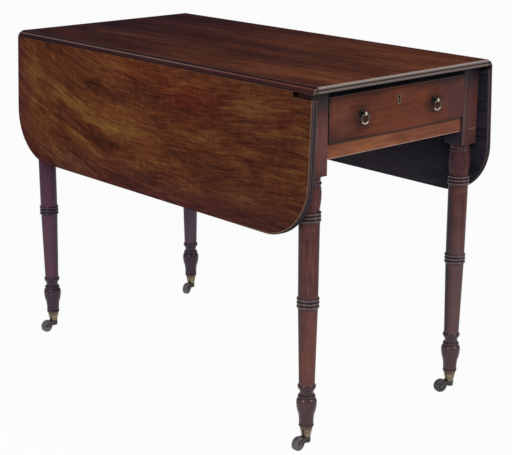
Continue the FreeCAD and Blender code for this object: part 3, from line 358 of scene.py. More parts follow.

# drop leaves, painted dark on their inner faces as stain and shade

innerStainAndShade = {"dark": (0.0088, 0.0082, 0.0122), "light": (0.056, 0.048, 0.062), "turned": (0.6, 0.9),
             "streaks": (0.3, 0.7), "streakShare": 0.3, "fade": (-0.46, -0.1), "fadeShare": 0.7}
leafLook = {
    "axes": "YZX", "sweep": {"near": 0.10, "far": 0.48, "middle": -0.02}, "waver": 0.035,
    "figureStretch": 0.28, "figureScale": 21.0, "figureDepth": 0.78,
    "streakStretch": 0.10, "streakScale": 150.0, "streakDepth": 0.86,
    "mottleScale": 38.0, "mottleDepth": 0.3, "threadScale": 270.0, "threadDepth": 0.62,
    "stops": [(0.08, (0.015, 0.0056, 0.0040)), (0.36, (0.050, 0.0148, 0.0072)),
              (0.56, (0.088, 0.0265, 0.0104)), (0.76, (0.120, 0.052, 0.0145)),
              (0.98, (0.176, 0.098, 0.028))],
    "pore": (0.014, 0.006, 0.004), "poreDepth": 0.65, "arris": 0.0008, "paleEdgeShare": 0.36, "paleEdgeReach": 0.0012,
    "wornAndHighlightColour": (0.17, 0.135, 0.135), "shadeAndGrime": (0.008, 0.005, 0.005),
    "rim": {"corner": (0.368, 0.5441), "radius": 0.115},
    "rimBands": [(-0.0046, -0.0028, 0.5, (0.20, 0.145, 0.090), -0.2, -0.42),
                 # the last rim band is a painted highlight on the outer arris
                 (-0.0026, 0.001, 0.85, (0.034, 0.027, 0.031)), (-0.0001, 0.001, 0.4, (0.10, 0.086, 0.086))],
    "rough": 0.4, "specular": 0.0, "coat": 0.015, "coatRough": 0.3,
    "glows": [((0.20, 0.565), (0.30, 0.040), 0.16), ((0.25, 0.510), (0.15, 0.024), 0.11),
              ((0.08, 0.682), (0.12, 0.020), 0.20), ((-0.34, 0.655), (0.16, 0.024), 0.22),
              ((-0.33, 0.570), (0.16, 0.018), 0.16), ((-0.25, 0.480), (0.14, 0.030), 0.08),
              ((0.16, 0.520), (0.10, 0.034), -0.15), ((0.16, 0.628), (0.13, 0.024), -0.15),
              ((-0.05, 0.640), (0.15, 0.035), -0.10), ((0.30, 0.690), (0.14, 0.016), -0.10)],
    # painted shade: darker and bluer towards the bottom edge
    "tints": [tint("Z", 0.52, 0.43, 1.0, times=(0.69, 0.69, 1.30)),
              tint("Y", 0.40, 0.485, 1.0, times=(0.76, 0.76, 1.40)),
              # painted shade: darker towards the near end
              tint("Y", 0.0, -0.45, 1.0, times=(0.76, 0.77, 0.90))],
    "stainsAndPaintedLight": [patch((-0.25, 0.02, 0.675), (0.05, 0.14, 0.045), 0.8, times=(0.90, 0.66, 0.80)),
               patch((-0.25, -0.145, 0.648), (0.05, 0.16, 0.07), 1.0, times=(0.90, 0.62, 0.80)),
               patch((-0.25, -0.33, 0.585), (0.05, 0.12, 0.045), 0.4, times=(0.86, 0.66, 0.85)),
               patch((-0.25, -0.39, 0.655), (0.05, 0.10, 0.035), 0.9, times=(1.0, 0.80, 0.90)),
               patch((-0.25, 0.30, 0.60), (0.05, 0.16, 0.09), 0.6, times=(0.94, 1.10, 1.0)),
               patch((-0.25, -0.30, 0.48), (0.05, 0.22, 0.07), 0.35, colour=(0.050, 0.0150, 0.0105))],
}
for name, side in (("leaf_left", 1), ("leaf_right", -1)):
    inner = {"axis": "X", "side": side, **innerStainAndShade}
    dress(mahogany("mahogany_" + name, dict(leafLook, inner=inner)), [name])

# drawer front and rails

(frontLeft, _, frontFoot), (_, _, frontTop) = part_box("drawer_front")
(_, _, railFoot), (_, _, railTop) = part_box("drawer_rail")
nearFace = -0.46  # where the stains on the drawer front and the leg blocks have their middle
pullSide, pullHeight = 0.102, 0.643
frontLook = {
    "axes": "XZY", "waver": 0.02,
    "figureStretch": 0.3, "figureScale": 20.0, "figureDepth": 0.9,
    "streakStretch": 0.08, "streakScale": 130.0, "streakDepth": 0.8,
    "mottleScale": 30.0, "mottleDepth": 0.35, "threadDepth": 0.45,
    "stops": [(0.1, (0.025, 0.008, 0.0075)), (0.42, (0.066, 0.0178, 0.0107)),
              (0.65, (0.105, 0.0285, 0.0128)), (0.92, (0.16, 0.048, 0.0185))],
    "pore": (0.022, 0.009, 0.007), "poreDepth": 0.5, "arris": 0.0012, "paleEdgeShare": 0.35, "paleEdgeReach": 0.002,
    "wornAndHighlightColour": (0.26, 0.17, 0.13), "shadeAndGrime": (0.006, 0.004, 0.004),
    "rough": 0.4, "specular": 0.03, "coat": 0.08, "coatRough": 0.2,
}
pullDirt = [patch((x, y, pullHeight), (0.040, 0.05, 0.040), 0.8, colour=(0.022, 0.010, 0.009))
            for x in (-pullSide, pullSide) for y in (nearFace, -nearFace)]
drawerLook = dict(
    frontLook,
    stainsAndPaintedLight=pullDirt + [
        patch((-0.035, nearFace, 0.655), (0.10, 0.05, 0.045), 0.2, colour=(0.17, 0.050, 0.018)),
        patch((0.02, nearFace, 0.612), (0.16, 0.05, 0.028), 0.55, colour=(0.135, 0.036, 0.019)),
        patch((-0.165, nearFace, 0.65), (0.06, 0.05, 0.06), 0.35, colour=(0.115, 0.045, 0.033)),
        patch((0.165, nearFace, 0.645), (0.06, 0.05, 0.07), 0.7, colour=(0.058, 0.023, 0.027)),
        patch((-0.185, nearFace, 0.61), (0.06, 0.05, 0.03), 0.6, colour=(0.024, 0.012, 0.011)),
        # painted shadow of the top, on the right of the drawer front
        patch((0.14, nearFace, 0.696), (0.13, 0.05, 0.032), 0.8, colour=(0.018, 0.012, 0.014)),
    ],
    # painted shadow in the gaps along the bottom and left edges, and painted shade under the top's overhang
    tints=[tint("Z", frontFoot + 0.0042, frontFoot + 0.0018, 0.9, colour=(0.009, 0.006, 0.006)),
           tint("X", frontLeft + 0.0045, frontLeft + 0.002, 0.9, colour=(0.006, 0.004, 0.005)),
           tint("Z", frontTop - 0.014, frontTop - 0.001, 0.8, times=(0.40, 0.38, 0.40))])
railLook = dict(
    frontLook, figureDepth=0.7, mottleDepth=0.2, paleEdgeShare=0.35, wornAndHighlightColour=(0.42, 0.28, 0.2),
    stops=[(0.12, (0.072, 0.023, 0.014)), (0.45, (0.148, 0.049, 0.024)),
           (0.65, (0.205, 0.074, 0.034)), (0.9, (0.29, 0.118, 0.055))],
    tints=[tint("X", -0.05, 0.19, 0.35, colour=(0.085, 0.028, 0.024)),
           # a painted highlight on the lower arris, and painted shadow along the top under the drawer front
           tint("Z", railFoot + 0.0016, railFoot + 0.0008, 0.55, colour=(0.42, 0.32, 0.28)),
           tint("Z", railTop - 0.0035, railTop - 0.001, 0.85, colour=(0.012, 0.007, 0.006))])
# the top rails, near black: painted shade under the top's overhang
shadeLook = dict(
    frontLook, paleEdgeShare=0.0, specular=0.0, coat=0.0,
    stops=[(0.1, (0.0035, 0.0035, 0.0045)), (0.45, (0.005, 0.005, 0.0065)),
           (0.65, (0.006, 0.006, 0.0075)), (0.9, (0.009, 0.008, 0.009))])
dress(mahogany("mahogany_front", drawerLook), ["drawer_front", "false_front"])
dress(mahogany("mahogany_rail", railLook), ["drawer_rail", "far_rail"])
dress(mahogany("mahogany_shaded", shadeLook), ["top_rail", "far_top_rail"])

# legs: dark glossy turnings on plainer shafts, purple towards the far end

legX, legY, blockFoot = 0.214, 0.44, 0.5475
collar, topBeads, midBeads = (0.530, 0.537), (0.459, 0.480), (0.289, 0.311)
ankle, bulb, foot = (0.106, 0.135), (0.046, 0.106), (0.046, 0.137)
ringShade, footShade, farShade = (0.020, 0.012, 0.015), (0.037, 0.017, 0.021), (0.018, 0.008, 0.020)
crestHighlight, crestPlace, crestHalf = (0.32, 0.25, 0.25), 0.58, 0.0004
beadCrests = [low + (step + crestPlace) * (high - low) / 3
              for low, high in (topBeads, midBeads) for step in range(3)]
legLook = {
    "axes": "ZXY", "waver": 0.012,
    "figureStretch": 0.22, "figureScale": 30.0, "figureDepth": 1.0,
    "streakStretch": 0.05, "streakScale": 170.0, "streakDepth": 0.6,
    "mottleScale": 16.0, "mottleDepth": 0.5, "threadDepth": 0.3,
    "stops": [(0.12, (0.016, 0.008, 0.009)), (0.45, (0.050, 0.0180, 0.0175)),
              (0.65, (0.084, 0.031, 0.0265)), (0.9, (0.14, 0.058, 0.045))],
    "heightBands": [(*topBeads, 0.6, ringShade), (*midBeads, 0.7, ringShade), (*collar, 0.6, ringShade),
                    (*ankle, 0.7, ringShade), (*bulb, 0.7, footShade)]
    # paler lines just above the bead crests of the near legs: painted highlight on rubbed crests
    + [(crest - crestHalf, crest + crestHalf, 0.4, crestHighlight, 0.1, -0.2) for crest in beadCrests]
    + [(*turning, 0.6, farShade, 0.0, 0.3) for turning in (topBeads, midBeads, foot)],
    "glossBands": [topBeads, midBeads, (0.530, 0.540), foot], "glossCoat": 0.5,
    "pore": (0.016, 0.007, 0.006), "poreDepth": 0.5, "arris": 0.0016, "paleEdgeShare": 0.45, "paleEdgeReach": 0.0016,
    "wornAndHighlightColour": (0.20, 0.15, 0.14), "shadeAndGrime": (0.006, 0.004, 0.005),
    "rough": 0.3, "specular": 0.03, "coat": 0.12, "coatRough": 0.14,
    "tints": [tint("Y", 0.1, 0.4, 0.8, colour=(0.045, 0.017, 0.040)),
              tint("Z", 0.44, 0.20, 0.45, colour=(0.098, 0.046, 0.042)),
              tint("Z", 0.15, 0.09, 0.4, colour=(0.040, 0.020, 0.024))],
}
legStainsAndPaintedLight = {
    "left": [patch((-0.205, nearFace, 0.61), (0.05, 0.02, 0.08), 0.6, colour=(0.125, 0.050, 0.042)),
             # painted shadow of the top on the block's upper end
             patch((-0.205, nearFace, 0.70), (0.06, 0.03, 0.045), 0.9, colour=(0.016, 0.015, 0.017)),
             patch((-0.213, nearFace, 0.63), (0.006, 0.02, 0.06), 0.45, colour=(0.085, 0.022, 0.019)),
             patch((-0.222, nearFace, 0.635), (0.007, 0.02, 0.05), 0.5, colour=(0.150, 0.105, 0.112)),
             # painted shade down the left side of the shaft
             patch((-0.229, -0.4246, 0.30), (0.021, 0.021, 0.50), 0.85, colour=(0.028, 0.016, 0.021)),
             # painted reflection: a pale bluish streak on the far left leg
             patch((-0.202, 0.427, 0.26), (0.014, 0.014, 0.45), 0.85, colour=(0.120, 0.102, 0.150)),
             patch((-legX, legY, 0.20), (0.06, 0.06, 0.20), 0.3, colour=(0.048, 0.030, 0.064)),
             patch((-legX, -legY, 0.22), (0.06, 0.06, 0.13), 0.6, times=(1.45, 1.25, 1.0))],
    "right": [patch((0.218, nearFace, 0.63), (0.05, 0.03, 0.14), 0.6, colour=(0.056, 0.020, 0.018)),
              # painted shadow of the top on the block's upper end
              patch((legX, nearFace, 0.703), (0.08, 0.05, 0.060), 0.95, colour=(0.012, 0.011, 0.016)),
              patch((legX, -legY, 0.505), (0.05, 0.05, 0.06), 0.5, colour=(0.038, 0.0135, 0.021)),
              patch((0.196, nearFace, 0.60), (0.008, 0.01, 0.12), 0.4, colour=(0.090, 0.055, 0.060)),
              # painted sheen: greyer on the lower shaft
              patch((legX, -legY, 0.22), (0.06, 0.06, 0.30), 0.5, colour=(0.078, 0.054, 0.058)),
              # painted shade down the left side of the shaft
              patch((0.199, -0.427, 0.30), (0.022, 0.022, 0.50), 0.95, colour=(0.020, 0.016, 0.024)),
              # painted light on the far right leg, in the table's shade
              patch((legX, legY, 0.30), (0.06, 0.06, 0.5), 0.85, colour=(0.112, 0.076, 0.108)),
              patch((0.2235, -0.461, 0.5785), (0.017, 0.006, 0.0008), 0.9, colour=(0.26, 0.20, 0.20))],
}
for sideName, side in (("left", 1), ("right", -1)):
    # the blocks' inner faces are painted dark as shade and stain
    inner = {"axis": "X", "side": side, "above": blockFoot, **innerStainAndShade}
    dress(mahogany("mahogany_legs_" + sideName, dict(legLook, inner=inner, stainsAndPaintedLight=legStainsAndPaintedLight[sideName])),
          [f"leg_{end}_{sideName}" for end in ("near", "far")])
print("mahogany done")


# plain secondary woods: grain along the piece, no polish

plainDefaults = {"ringStretch": 0.08, "ringNoise": (4.0, 0.6, 0.4), "toneRange": (0.3, 0.7),
                 "fibreStretch": 0.03, "fibreScale": 500.0, "fibreNoise": (2.0,), "fibreRange": (0.5, 0.75),
                 "fibreDepth": 0.4, "shadeAndGrimeReach": 0.02, "bump": 0.2, "bumpDepth": 0.0006, "rough": 0.7,
                 "specular": 0.2}


def plainWood(name, ownLook):
    look = {**plainDefaults, **ownLook}
    material, tree, shader = newMaterial(name)
    axes = splitXYZ(tree, add(tree, "TexCoord").outputs["Object"])
    directions = [axes["XYZ".index(letter)] for letter in look["axes"]]
    rings = grainNoise(tree, directions, look["ringStretch"], look["ringScale"], look["ringNoise"])
    fibre = grainNoise(tree, directions, look["fibreStretch"], look["fibreScale"], look["fibreNoise"])
    colour = ramp(tree, rings, list(zip(look["toneRange"], (look["dark"], look["light"]))))
    darkFibre = ease(tree, fibre, *look["fibreRange"], 0.0, look["fibreDepth"])
    colour = mixColour(tree, darkFibre, colour, look["dark"])
    # painted shade and grime in corners and between parts
    colour = mixColour(tree, crevice(tree, look["shadeAndGrimeReach"]), look["shadeAndGrime"], colour)
    bump = add(tree, "Bump", None,
               {"Strength": look["bump"], "Distance": look["bumpDepth"], "Height": fibre})
    plug(tree, shader.inputs["Base Color"], colour)
    plug(tree, shader.inputs["Normal"], bump.outputs[0])
    shader.inputs["Roughness"].default_value = look["rough"]
    shader.inputs["Specular IOR Level"].default_value = look["specular"]
    return material


carcaseLook = {"axes": "YZX", "ringScale": 60.0, "dark": (0.05, 0.028, 0.016), "light": (0.12, 0.07, 0.038),
               "shadeAndGrime": (0.015, 0.010, 0.008)}
liningLook = {"axes": "YZX", "ringScale": 80.0, "dark": (0.16, 0.095, 0.045), "light": (0.34, 0.22, 0.12),
              "shadeAndGrime": (0.04, 0.025, 0.016)}
dress(plainWood("plain_carcase", carcaseLook),
      ["side_rail_left", "side_rail_right", "drawer_runners", "drawer_kickers", "drawer_stops",
       "fly_rail_left", "fly_rail_right"] + ["fly_bracket_" + corner for corner in corners])
dress(plainWood("plain_lining", liningLook), ["drawer_side_left", "drawer_side_right", "drawer_bottom"])
dress(plainWood("plain_back", dict(liningLook, axes="XZY")), ["drawer_back"])
print("plain woods done")


# metals: worn brass, dull castor brass with a darker copy as painted shade on one wheel, dark iron

metalDefaults = {"cloudNoise": (4.0, 0.6), "toneRange": (0.3, 0.7), "pitScale": 900.0, "bump": 0.15,
                 "bumpDepth": 0.0004, "shadeAndGrimeReach": 0.006, "roughRange": (0.25, 0.75), "roughSpread": 0.2,
                 "bands": (), "bandEdge": 0.001}


def metal(name, ownLook):
    look = {**metalDefaults, **ownLook}
    material, tree, shader = newMaterial(name)
    spot = add(tree, "TexCoord").outputs["Object"]
    axes = splitXYZ(tree, spot)
    cloud = noise(tree, spot, look["cloudScale"], *look["cloudNoise"])
    pits = noise(tree, spot, look["pitScale"])
    normal, paleEdgeMask = softArris(tree, look["arris"], look["arris"] * 2)
    colour = ramp(tree, cloud, list(zip(look["toneRange"], (look["dark"], look["light"]))))
    colour = mixColour(tree, calc(tree, "MULTIPLY", paleEdgeMask, look["paleEdgeShare"]), colour, look["bright"])
    if "proud" in look:  # handled parts that stand out past the plate are rubbed bright
        far = calc(tree, "ABSOLUTE", axes[1])
        colour = mixColour(tree, ease(tree, far, *look["proud"]), colour, look["bright"])
    for low, high, amount, shade in look["bands"]:  # darker or brighter rings round an upright axis
        inside = calc(tree, "MULTIPLY", ease(tree, axes[2], low - look["bandEdge"], low),
                      ease(tree, axes[2], high + look["bandEdge"], high))
        colour = mixColour(tree, calc(tree, "MULTIPLY", inside, amount), colour, shade)
    colour = mixColour(tree, crevice(tree, look["shadeAndGrimeReach"]), look["shadeAndGrime"], colour)
    bump = add(tree, "Bump", None, {"Strength": look["bump"], "Distance": look["bumpDepth"], "Height": pits,
                                    "Normal": normal})
    rough = ease(tree, cloud, *look["roughRange"], look["rough"], look["rough"] + look["roughSpread"])
    plug(tree, shader.inputs["Base Color"], colour)
    plug(tree, shader.inputs["Normal"], bump.outputs[0])
    plug(tree, shader.inputs["Roughness"], rough)
    shader.inputs["Metallic"].default_value = look["metallic"]
    return material


rosetteLook = {"cloudScale": 260.0, "arris": 0.0004, "paleEdgeShare": 0.25, "dark": (0.010, 0.008, 0.007),
               "light": (0.045, 0.034, 0.026), "bright": (0.50, 0.44, 0.38), "proud": (0.4655, 0.4675),
               "shadeAndGrime": (0.006, 0.005, 0.005), "rough": 0.3, "metallic": 0.8}
ringLook = {"cloudScale": 170.0, "arris": 0.0004, "paleEdgeShare": 0.2, "dark": (0.035, 0.027, 0.024),
            "light": (0.22, 0.18, 0.15), "bright": (0.85, 0.80, 0.72), "shadeAndGrime": (0.010, 0.008, 0.008),
            "rough": 0.18, "metallic": 0.95, "bands": [(0.630, 0.6375, 0.85, (0.66, 0.60, 0.52))]}
keyLook = {"cloudScale": 200.0, "arris": 0.0004, "paleEdgeShare": 0.5, "dark": (0.05, 0.038, 0.024),
           "light": (0.20, 0.15, 0.085), "bright": (0.42, 0.34, 0.22), "shadeAndGrime": (0.008, 0.006, 0.006),
           "rough": 0.3, "metallic": 0.85, "shadeAndGrimeReach": 0.003}
cupLook = {"cloudScale": 110.0, "arris": 0.0007, "paleEdgeShare": 0.4, "dark": (0.10, 0.075, 0.05),
           "light": (0.32, 0.25, 0.16), "bright": (0.5, 0.42, 0.28), "shadeAndGrime": (0.010, 0.008, 0.008),
           "rough": 0.28, "metallic": 0.85, "bands": [(0.041, 0.0445, 0.6, (0.05, 0.035, 0.024))]}
castorLook = {"cloudScale": 90.0, "arris": 0.0008, "paleEdgeShare": 0.4, "dark": (0.060, 0.052, 0.056),
              "light": (0.150, 0.133, 0.140), "bright": (0.26, 0.24, 0.23), "shadeAndGrime": (0.008, 0.008, 0.009),
              "rough": 0.42, "metallic": 0.5}
# a darker, duller copy of the castor brass for the near right wheel: painted shade
shadedCastorLook = dict(castorLook, dark=(0.022, 0.019, 0.021), light=(0.060, 0.052, 0.056), rough=0.55,
                      metallic=0.2)
hornLook = dict(castorLook, dark=(0.022, 0.019, 0.02), light=(0.06, 0.052, 0.05))
ironLook = {"cloudScale": 60.0, "arris": 0.0006, "paleEdgeShare": 0.4, "dark": (0.012, 0.010, 0.009),
            "light": (0.045, 0.036, 0.03), "bright": (0.12, 0.11, 0.10), "shadeAndGrime": (0.006, 0.005, 0.005),
            "rough": 0.5, "metallic": 0.7}
ironMaterial = metal("dark_iron", ironLook)
cupMaterial = metal("cup_brass", cupLook)
shadedCorner = "near_right"
dress(cupMaterial, ["castor_cups"])
dress(metal("pull_patina", rosetteLook), ["pull_rosettes", "far_pull_rosettes"])
dress(metal("rubbed_brass", ringLook), ["ring_pull_" + corner for corner in corners])
dress(metal("worn_brass", keyLook), ["pull_nuts", "keyhole_escutcheon", "lock_case"])
dress(metal("castor_brass", castorLook),
      ["castor_wheel_" + corner for corner in corners if corner != shadedCorner])
dress(metal("castor_brass_painted_shade", shadedCastorLook), ["castor_wheel_" + shadedCorner])
dress(metal("castor_dark_brass", hornLook),
      [f"castor_{kind}_{corner}" for kind in ("horn", "axle") for corner in corners])
dress(ironMaterial, ["hinge_pins", "fly_pins", "top_screws", "lock_bolt"])
for board in ("top", "left", "right"):
    dress(ironMaterial, ["hinge_plates_" + board, "hinge_screws_" + board])
print("metals done")

# slotted screws of the hinges, the castor cups and the lock

screwLook = {"Head Width": 0.0070, "Neck Width": 0.0034, "Head Height": 0.0018, "Slot Width": 0.0009,
             "Slot Depth": 0.0007, "Shank Length": 0.008}
screwSeed = 7
screwShape = {"headSides": 24, "shankSides": 12, "slotReach": 1.2, "shankShare": 0.95, "shankDrop": 0.48,
              "mostTurn": 3.14}


def screwTree():
    tree = bpy.data.node_groups.new("slottedScrews", "GeometryNodeTree")
    sockets = tree.interface
    sockets.new_socket("Geometry", in_out="INPUT", socket_type="NodeSocketGeometry")
    for label, kind in [(name, "Float") for name in screwLook] + [("Seed", "Int"), ("Finish", "Material")]:
        sockets.new_socket(label, in_out="INPUT", socket_type="NodeSocket" + kind)
    sockets.new_socket("Geometry", in_out="OUTPUT", socket_type="NodeSocketGeometry")
    entry = tree.nodes.new("NodeGroupInput").outputs

    neck = calc(tree, "MULTIPLY", entry["Neck Width"], 0.5)
    rim = calc(tree, "MULTIPLY", entry["Head Width"], 0.5)
    head = put(tree, "GeometryNodeMeshCone", None, {
        "Vertices": screwShape["headSides"], "Radius Bottom": rim, "Radius Top": neck,
        "Depth": entry["Head Height"]}).outputs["Mesh"]
    slotLength = calc(tree, "MULTIPLY", entry["Head Width"], screwShape["slotReach"])
    slotDepth = calc(tree, "MULTIPLY", entry["Slot Depth"], 2.0)  # half of the box lies outside the head
    slot = put(tree, "GeometryNodeMeshCube", None,
               {"Size": joinXYZ(tree, entry["Slot Width"], slotLength, slotDepth)}).outputs["Mesh"]
    cutHead = put(tree, "GeometryNodeMeshBoolean", {"operation": "DIFFERENCE"},
                  {"Mesh 1": head, "Mesh 2": slot}).outputs["Mesh"]
    shankRadius = calc(tree, "MULTIPLY", neck, screwShape["shankShare"])
    shank = put(tree, "GeometryNodeMeshCylinder", None, {
        "Vertices": screwShape["shankSides"], "Radius": shankRadius,
        "Depth": entry["Shank Length"]}).outputs["Mesh"]
    sunk = calc(tree, "MULTIPLY", entry["Shank Length"], screwShape["shankDrop"])
    drop = calc(tree, "ADD", entry["Head Height"], sunk)
    lowered = put(tree, "GeometryNodeTransform", None,
                  {"Geometry": shank, "Translation": joinXYZ(tree, 0.0, 0.0, drop)}).outputs[0]
    screw = put(tree, "GeometryNodeJoinGeometry")
    for part in (lowered, cutHead):
        tree.links.new(part, screw.inputs[0])

    inward = put(tree, "GeometryNodeInputNamedAttribute", {"data_type": "FLOAT_VECTOR"},
                 {"Name": "inward"}).outputs["Attribute"]
    facing = put(tree, "FunctionNodeAlignRotationToVector", {"axis": "Z"}, {"Vector": inward}).outputs[0]
    chance = put(tree, "FunctionNodeRandomValue", {"data_type": "FLOAT"},
                 {2: 0.0, 3: screwShape["mostTurn"], "Seed": entry["Seed"]}).outputs[1]
    spin = put(tree, "FunctionNodeAxisAngleToRotation", None,
               {"Axis": (0, 0, 1), "Angle": chance}).outputs[0]
    turned = put(tree, "FunctionNodeRotateRotation", {"rotation_space": "LOCAL"},
                 {"Rotation": facing, "Rotate By": spin}).outputs[0]
    spread = put(tree, "GeometryNodeInstanceOnPoints", None, {
        "Points": entry["Geometry"], "Instance": screw.outputs[0], "Rotation": turned}).outputs[0]
    whole = put(tree, "GeometryNodeRealizeInstances", None, {"Geometry": spread}).outputs[0]
    done = put(tree, "GeometryNodeSetMaterial", None,
               {"Geometry": whole, "Material": entry["Finish"]}).outputs[0]
    tree.links.new(done, tree.nodes.new("NodeGroupOutput").inputs[0])
    return tree


screws = screwTree()


def setScrews(name, body, material, places, sizes=None, replaced=None):
    points = bpy.data.meshes.new(name + "_points")
    points.from_pydata([place for place, _ in places], [], [])
    for item, (_, direction) in zip(points.attributes.new("inward", "FLOAT_VECTOR", "POINT").data, places):
        item.vector = direction
    holder = bpy.data.objects.new(name + "_points", points)
    scene.collection.objects.link(holder)
    modifier = holder.modifiers.new("screws", "NODES")
    modifier.node_group = screws
    values = {**screwLook, **(sizes or {}), "Seed": screwSeed, "Finish": material}
    for socket in screws.interface.items_tree:
        if socket.in_out == "INPUT" and socket.name in values:
            modifier[socket.identifier] = values[socket.name]
    depsgraph = bpy.context.evaluated_depsgraph_get()
    mesh = bpy.data.meshes.new_from_object(holder.evaluated_get(depsgraph))
    bpy.data.objects.remove(holder)
    mesh.name = name
    piece = bpy.data.objects.new(name, mesh)
    scene.collection.objects.link(piece)
    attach(piece, body)
    if replaced:
        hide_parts(replaced)


cupScrewLook = {"height": 0.036, "radius": 0.01115, "proud": 0.0003, "slope": 0.21, "turns": (-100, 80)}
cupScrewSizes = {"Head Width": 0.0036, "Neck Width": 0.002, "Head Height": 0.001, "Slot Width": 0.0006,
                 "Slot Depth": 0.0004, "Shank Length": 0.004}


def cupPlaces():
    # two fixing screws in the side of each castor cup, facing its axis
    places = []
    for corner in corners:
        low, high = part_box("leg_" + corner)
        middle = Vector(((low[0] + high[0]) / 2, (low[1] + high[1]) / 2, cupScrewLook["height"]))
        for turn in cupScrewLook["turns"]:
            angle = math.radians(turn)
            out = Vector((math.cos(angle), math.sin(angle), -cupScrewLook["slope"])).normalized()
            wall = middle + Vector((out.x, out.y, 0)) * cupScrewLook["radius"]
            places.append((wall + out * cupScrewLook["proud"], -out))
    return places


lockScrewLook = {"inset": 0.0045, "proud": 0.0002}
lockScrewSizes = {"Head Width": 0.005, "Neck Width": 0.0026, "Head Height": 0.0012, "Shank Length": 0.004}


def lockPlaces():
    # four screws through the lock's back plate, near its corners
    (left, _, foot), (right, back, head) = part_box("lock_case")
    inset = lockScrewLook["inset"]
    return [(Vector((x, back + lockScrewLook["proud"], z)), Vector((0, -1, 0)))
            for x in (left + inset, right - inset) for z in (foot + inset, head - inset)]


def screwPlaces(node, inward):
    # one place for each screw of a CAD node: the middle of its head, found from faces that share points
    mesh = nodes[node].data
    groups = []
    for face in mesh.polygons:
        points = {tuple(round(value, 5) for value in mesh.vertices[index].co) for index in face.vertices}
        joined = [group for group in groups if group & points]
        groups = [group for group in groups if not group & points] + [points.union(*joined)]
    turn = Vector(inward).to_track_quat("Z", "Y").to_matrix()
    places = []
    for group in groups:
        x, y, z = zip(*(turn.transposed() @ Vector(point) for point in group))
        head = Vector(((min(x) + max(x)) / 2, (min(y) + max(y)) / 2, min(z)))
        places.append((turn @ head, Vector(inward).normalized()))
    print(node, len(places), "screws")
    return places


setScrews("cup_screws", "frame", cupMaterial, cupPlaces(), cupScrewSizes)
setScrews("lock_screws", "drawer", ironMaterial, lockPlaces(), lockScrewSizes)
setScrews("hinge_screws_top_slotted", "frame", ironMaterial,
          screwPlaces("hinge_screws_top", (0, 0, 1)), replaced="hinge_screws_top")
lean = math.radians(2.5)  # of the hanging leaves
for sideName, side in (("left", -1), ("right", 1)):
    inward = (side * math.cos(lean), 0, math.sin(lean))
    setScrews(f"hinge_screws_{sideName}_slotted", "leaf_" + sideName, ironMaterial,
              screwPlaces("hinge_screws_" + sideName, inward), replaced="hinge_screws_" + sideName)
print("screws done")

# floor: pale, white to the camera and in the polish, clear from below

floorLook = {"reach": 40.0, "colour": (0.55, 0.55, 0.55), "lift": 0.94, "rough": 0.9}
reach = floorLook["reach"]
floorMesh = bpy.data.meshes.new("floor")
floorMesh.from_pydata([(-reach, -reach, 0), (reach, -reach, 0), (reach, reach, 0), (-reach, reach, 0)], [],
                      [(0, 1, 2, 3)])
floor = bpy.data.objects.new("floor", floorMesh)
scene.collection.objects.link(floor)
floorMaterial, floorTree, floorShader = newMaterial("pale_floor")
floorShader.inputs["Base Color"].default_value = (*floorLook["colour"], 1)
floorShader.inputs["Roughness"].default_value = floorLook["rough"]
floorShader.inputs["Specular IOR Level"].default_value = 0.0
sight = add(floorTree, "LightPath").outputs
seen = calc(floorTree, "ADD", sight["Is Camera Ray"], sight["Is Glossy Ray"], clamp=True)
seen = calc(floorTree, "ADD", seen, sight["Is Transmission Ray"], clamp=True)
white = add(floorTree, "Emission", None, {"Color": (1, 1, 1, 1), "Strength": 1.0})
whiteShare = calc(floorTree, "MULTIPLY", seen, floorLook["lift"])
lifted = add(floorTree, "MixShader", None, {0: whiteShare, 1: floorShader.outputs[0], 2: white.outputs[0]})
below = add(floorTree, "NewGeometry").outputs["Backfacing"]
clear = add(floorTree, "BsdfTransparent")
under = add(floorTree, "MixShader", None, {0: below, 1: lifted.outputs[0], 2: clear.outputs[0]})
floorOutput = next(node for node in floorTree.nodes if node.type == "OUTPUT_MATERIAL")
floorTree.links.new(under.outputs[0], floorOutput.inputs[0])
floorMesh.materials.append(floorMaterial)

# light: a soft sky, a broad sun and two softboxes

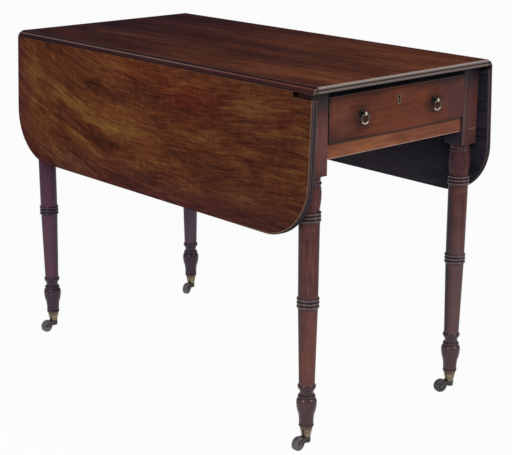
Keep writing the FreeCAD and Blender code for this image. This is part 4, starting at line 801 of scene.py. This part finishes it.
skyLook = {"horizon": (0.27, 0.27, 0.29), "zenith": (0.58, 0.58, 0.60)}
world = bpy.data.worlds.new("studio")
scene.world = world
world.use_nodes = True
skyTree = world.node_tree
skyTree.nodes.clear()
skyHeight = splitXYZ(skyTree, add(skyTree, "TexCoord").outputs["Generated"])[2]
skyColour = mixColour(skyTree, ease(skyTree, skyHeight, 0.0, 0.9), skyLook["horizon"], skyLook["zenith"])
background = add(skyTree, "Background", None, {"Color": skyColour, "Strength": 1.0})
skyTree.links.new(background.outputs[0], add(skyTree, "OutputWorld").inputs[0])


def aim(piece, place, target):
    piece.location = place
    piece.rotation_euler = (Vector(target) - Vector(place)).to_track_quat("-Z", "Y").to_euler()
    scene.collection.objects.link(piece)


sunLook = {"strength": 2.4, "spread": 30.0, "from": (-2.5, -2.6, 2.32), "target": (0, 0, 0.4)}
sunData = bpy.data.lights.new("broad_sun", "SUN")
sunData.energy = sunLook["strength"]
sunData.angle = math.radians(sunLook["spread"])
sun = bpy.data.objects.new("broad_sun", sunData)
sun.visible_glossy = False  # only the softboxes glint in the polish
aim(sun, sunLook["from"], sunLook["target"])
boxLook = {"size": 0.6, "target": (0, 0, 0.45),
           "lamps": ((24.0, (-2.63, -0.63, 1.75)), (20.0, (0.85, -2.6, 1.75)))}
for index, (power, place) in enumerate(boxLook["lamps"]):
    boxData = bpy.data.lights.new(f"softbox_{index}", "AREA")
    boxData.energy = power
    boxData.size = boxLook["size"]
    aim(bpy.data.objects.new(f"softbox_{index}", boxData), place, boxLook["target"])

# camera, at the photograph's viewing angle

cameraLook = {"azimuth": -42.0, "elevation": 16.2, "roll": 0.22, "place": (-1.90769, -2.17143, 1.15028),
              "focalPixels": 1352.4, "imageWidth": 512, "sensor": 36.0}
azimuth, elevation, roll = (math.radians(cameraLook[key]) for key in ("azimuth", "elevation", "roll"))
level = math.cos(elevation)
back = Vector((math.sin(azimuth) * level, -math.cos(azimuth) * level, math.sin(elevation)))
right = Vector((math.cos(azimuth), math.sin(azimuth), 0.0))
up = back.cross(right)
right, up = right * math.cos(roll) + up * math.sin(roll), up * math.cos(roll) - right * math.sin(roll)
cameraData = bpy.data.cameras.new("camera")
cameraData.sensor_width = cameraLook["sensor"]
cameraData.lens = cameraLook["focalPixels"] / cameraLook["imageWidth"] * cameraLook["sensor"]
camera = bpy.data.objects.new("camera", cameraData)
scene.collection.objects.link(camera)
turn = Matrix((right, up, back)).transposed().to_4x4()
camera.matrix_world = Matrix.Translation(cameraLook["place"]) @ turn
scene.camera = camera
print("stage done")
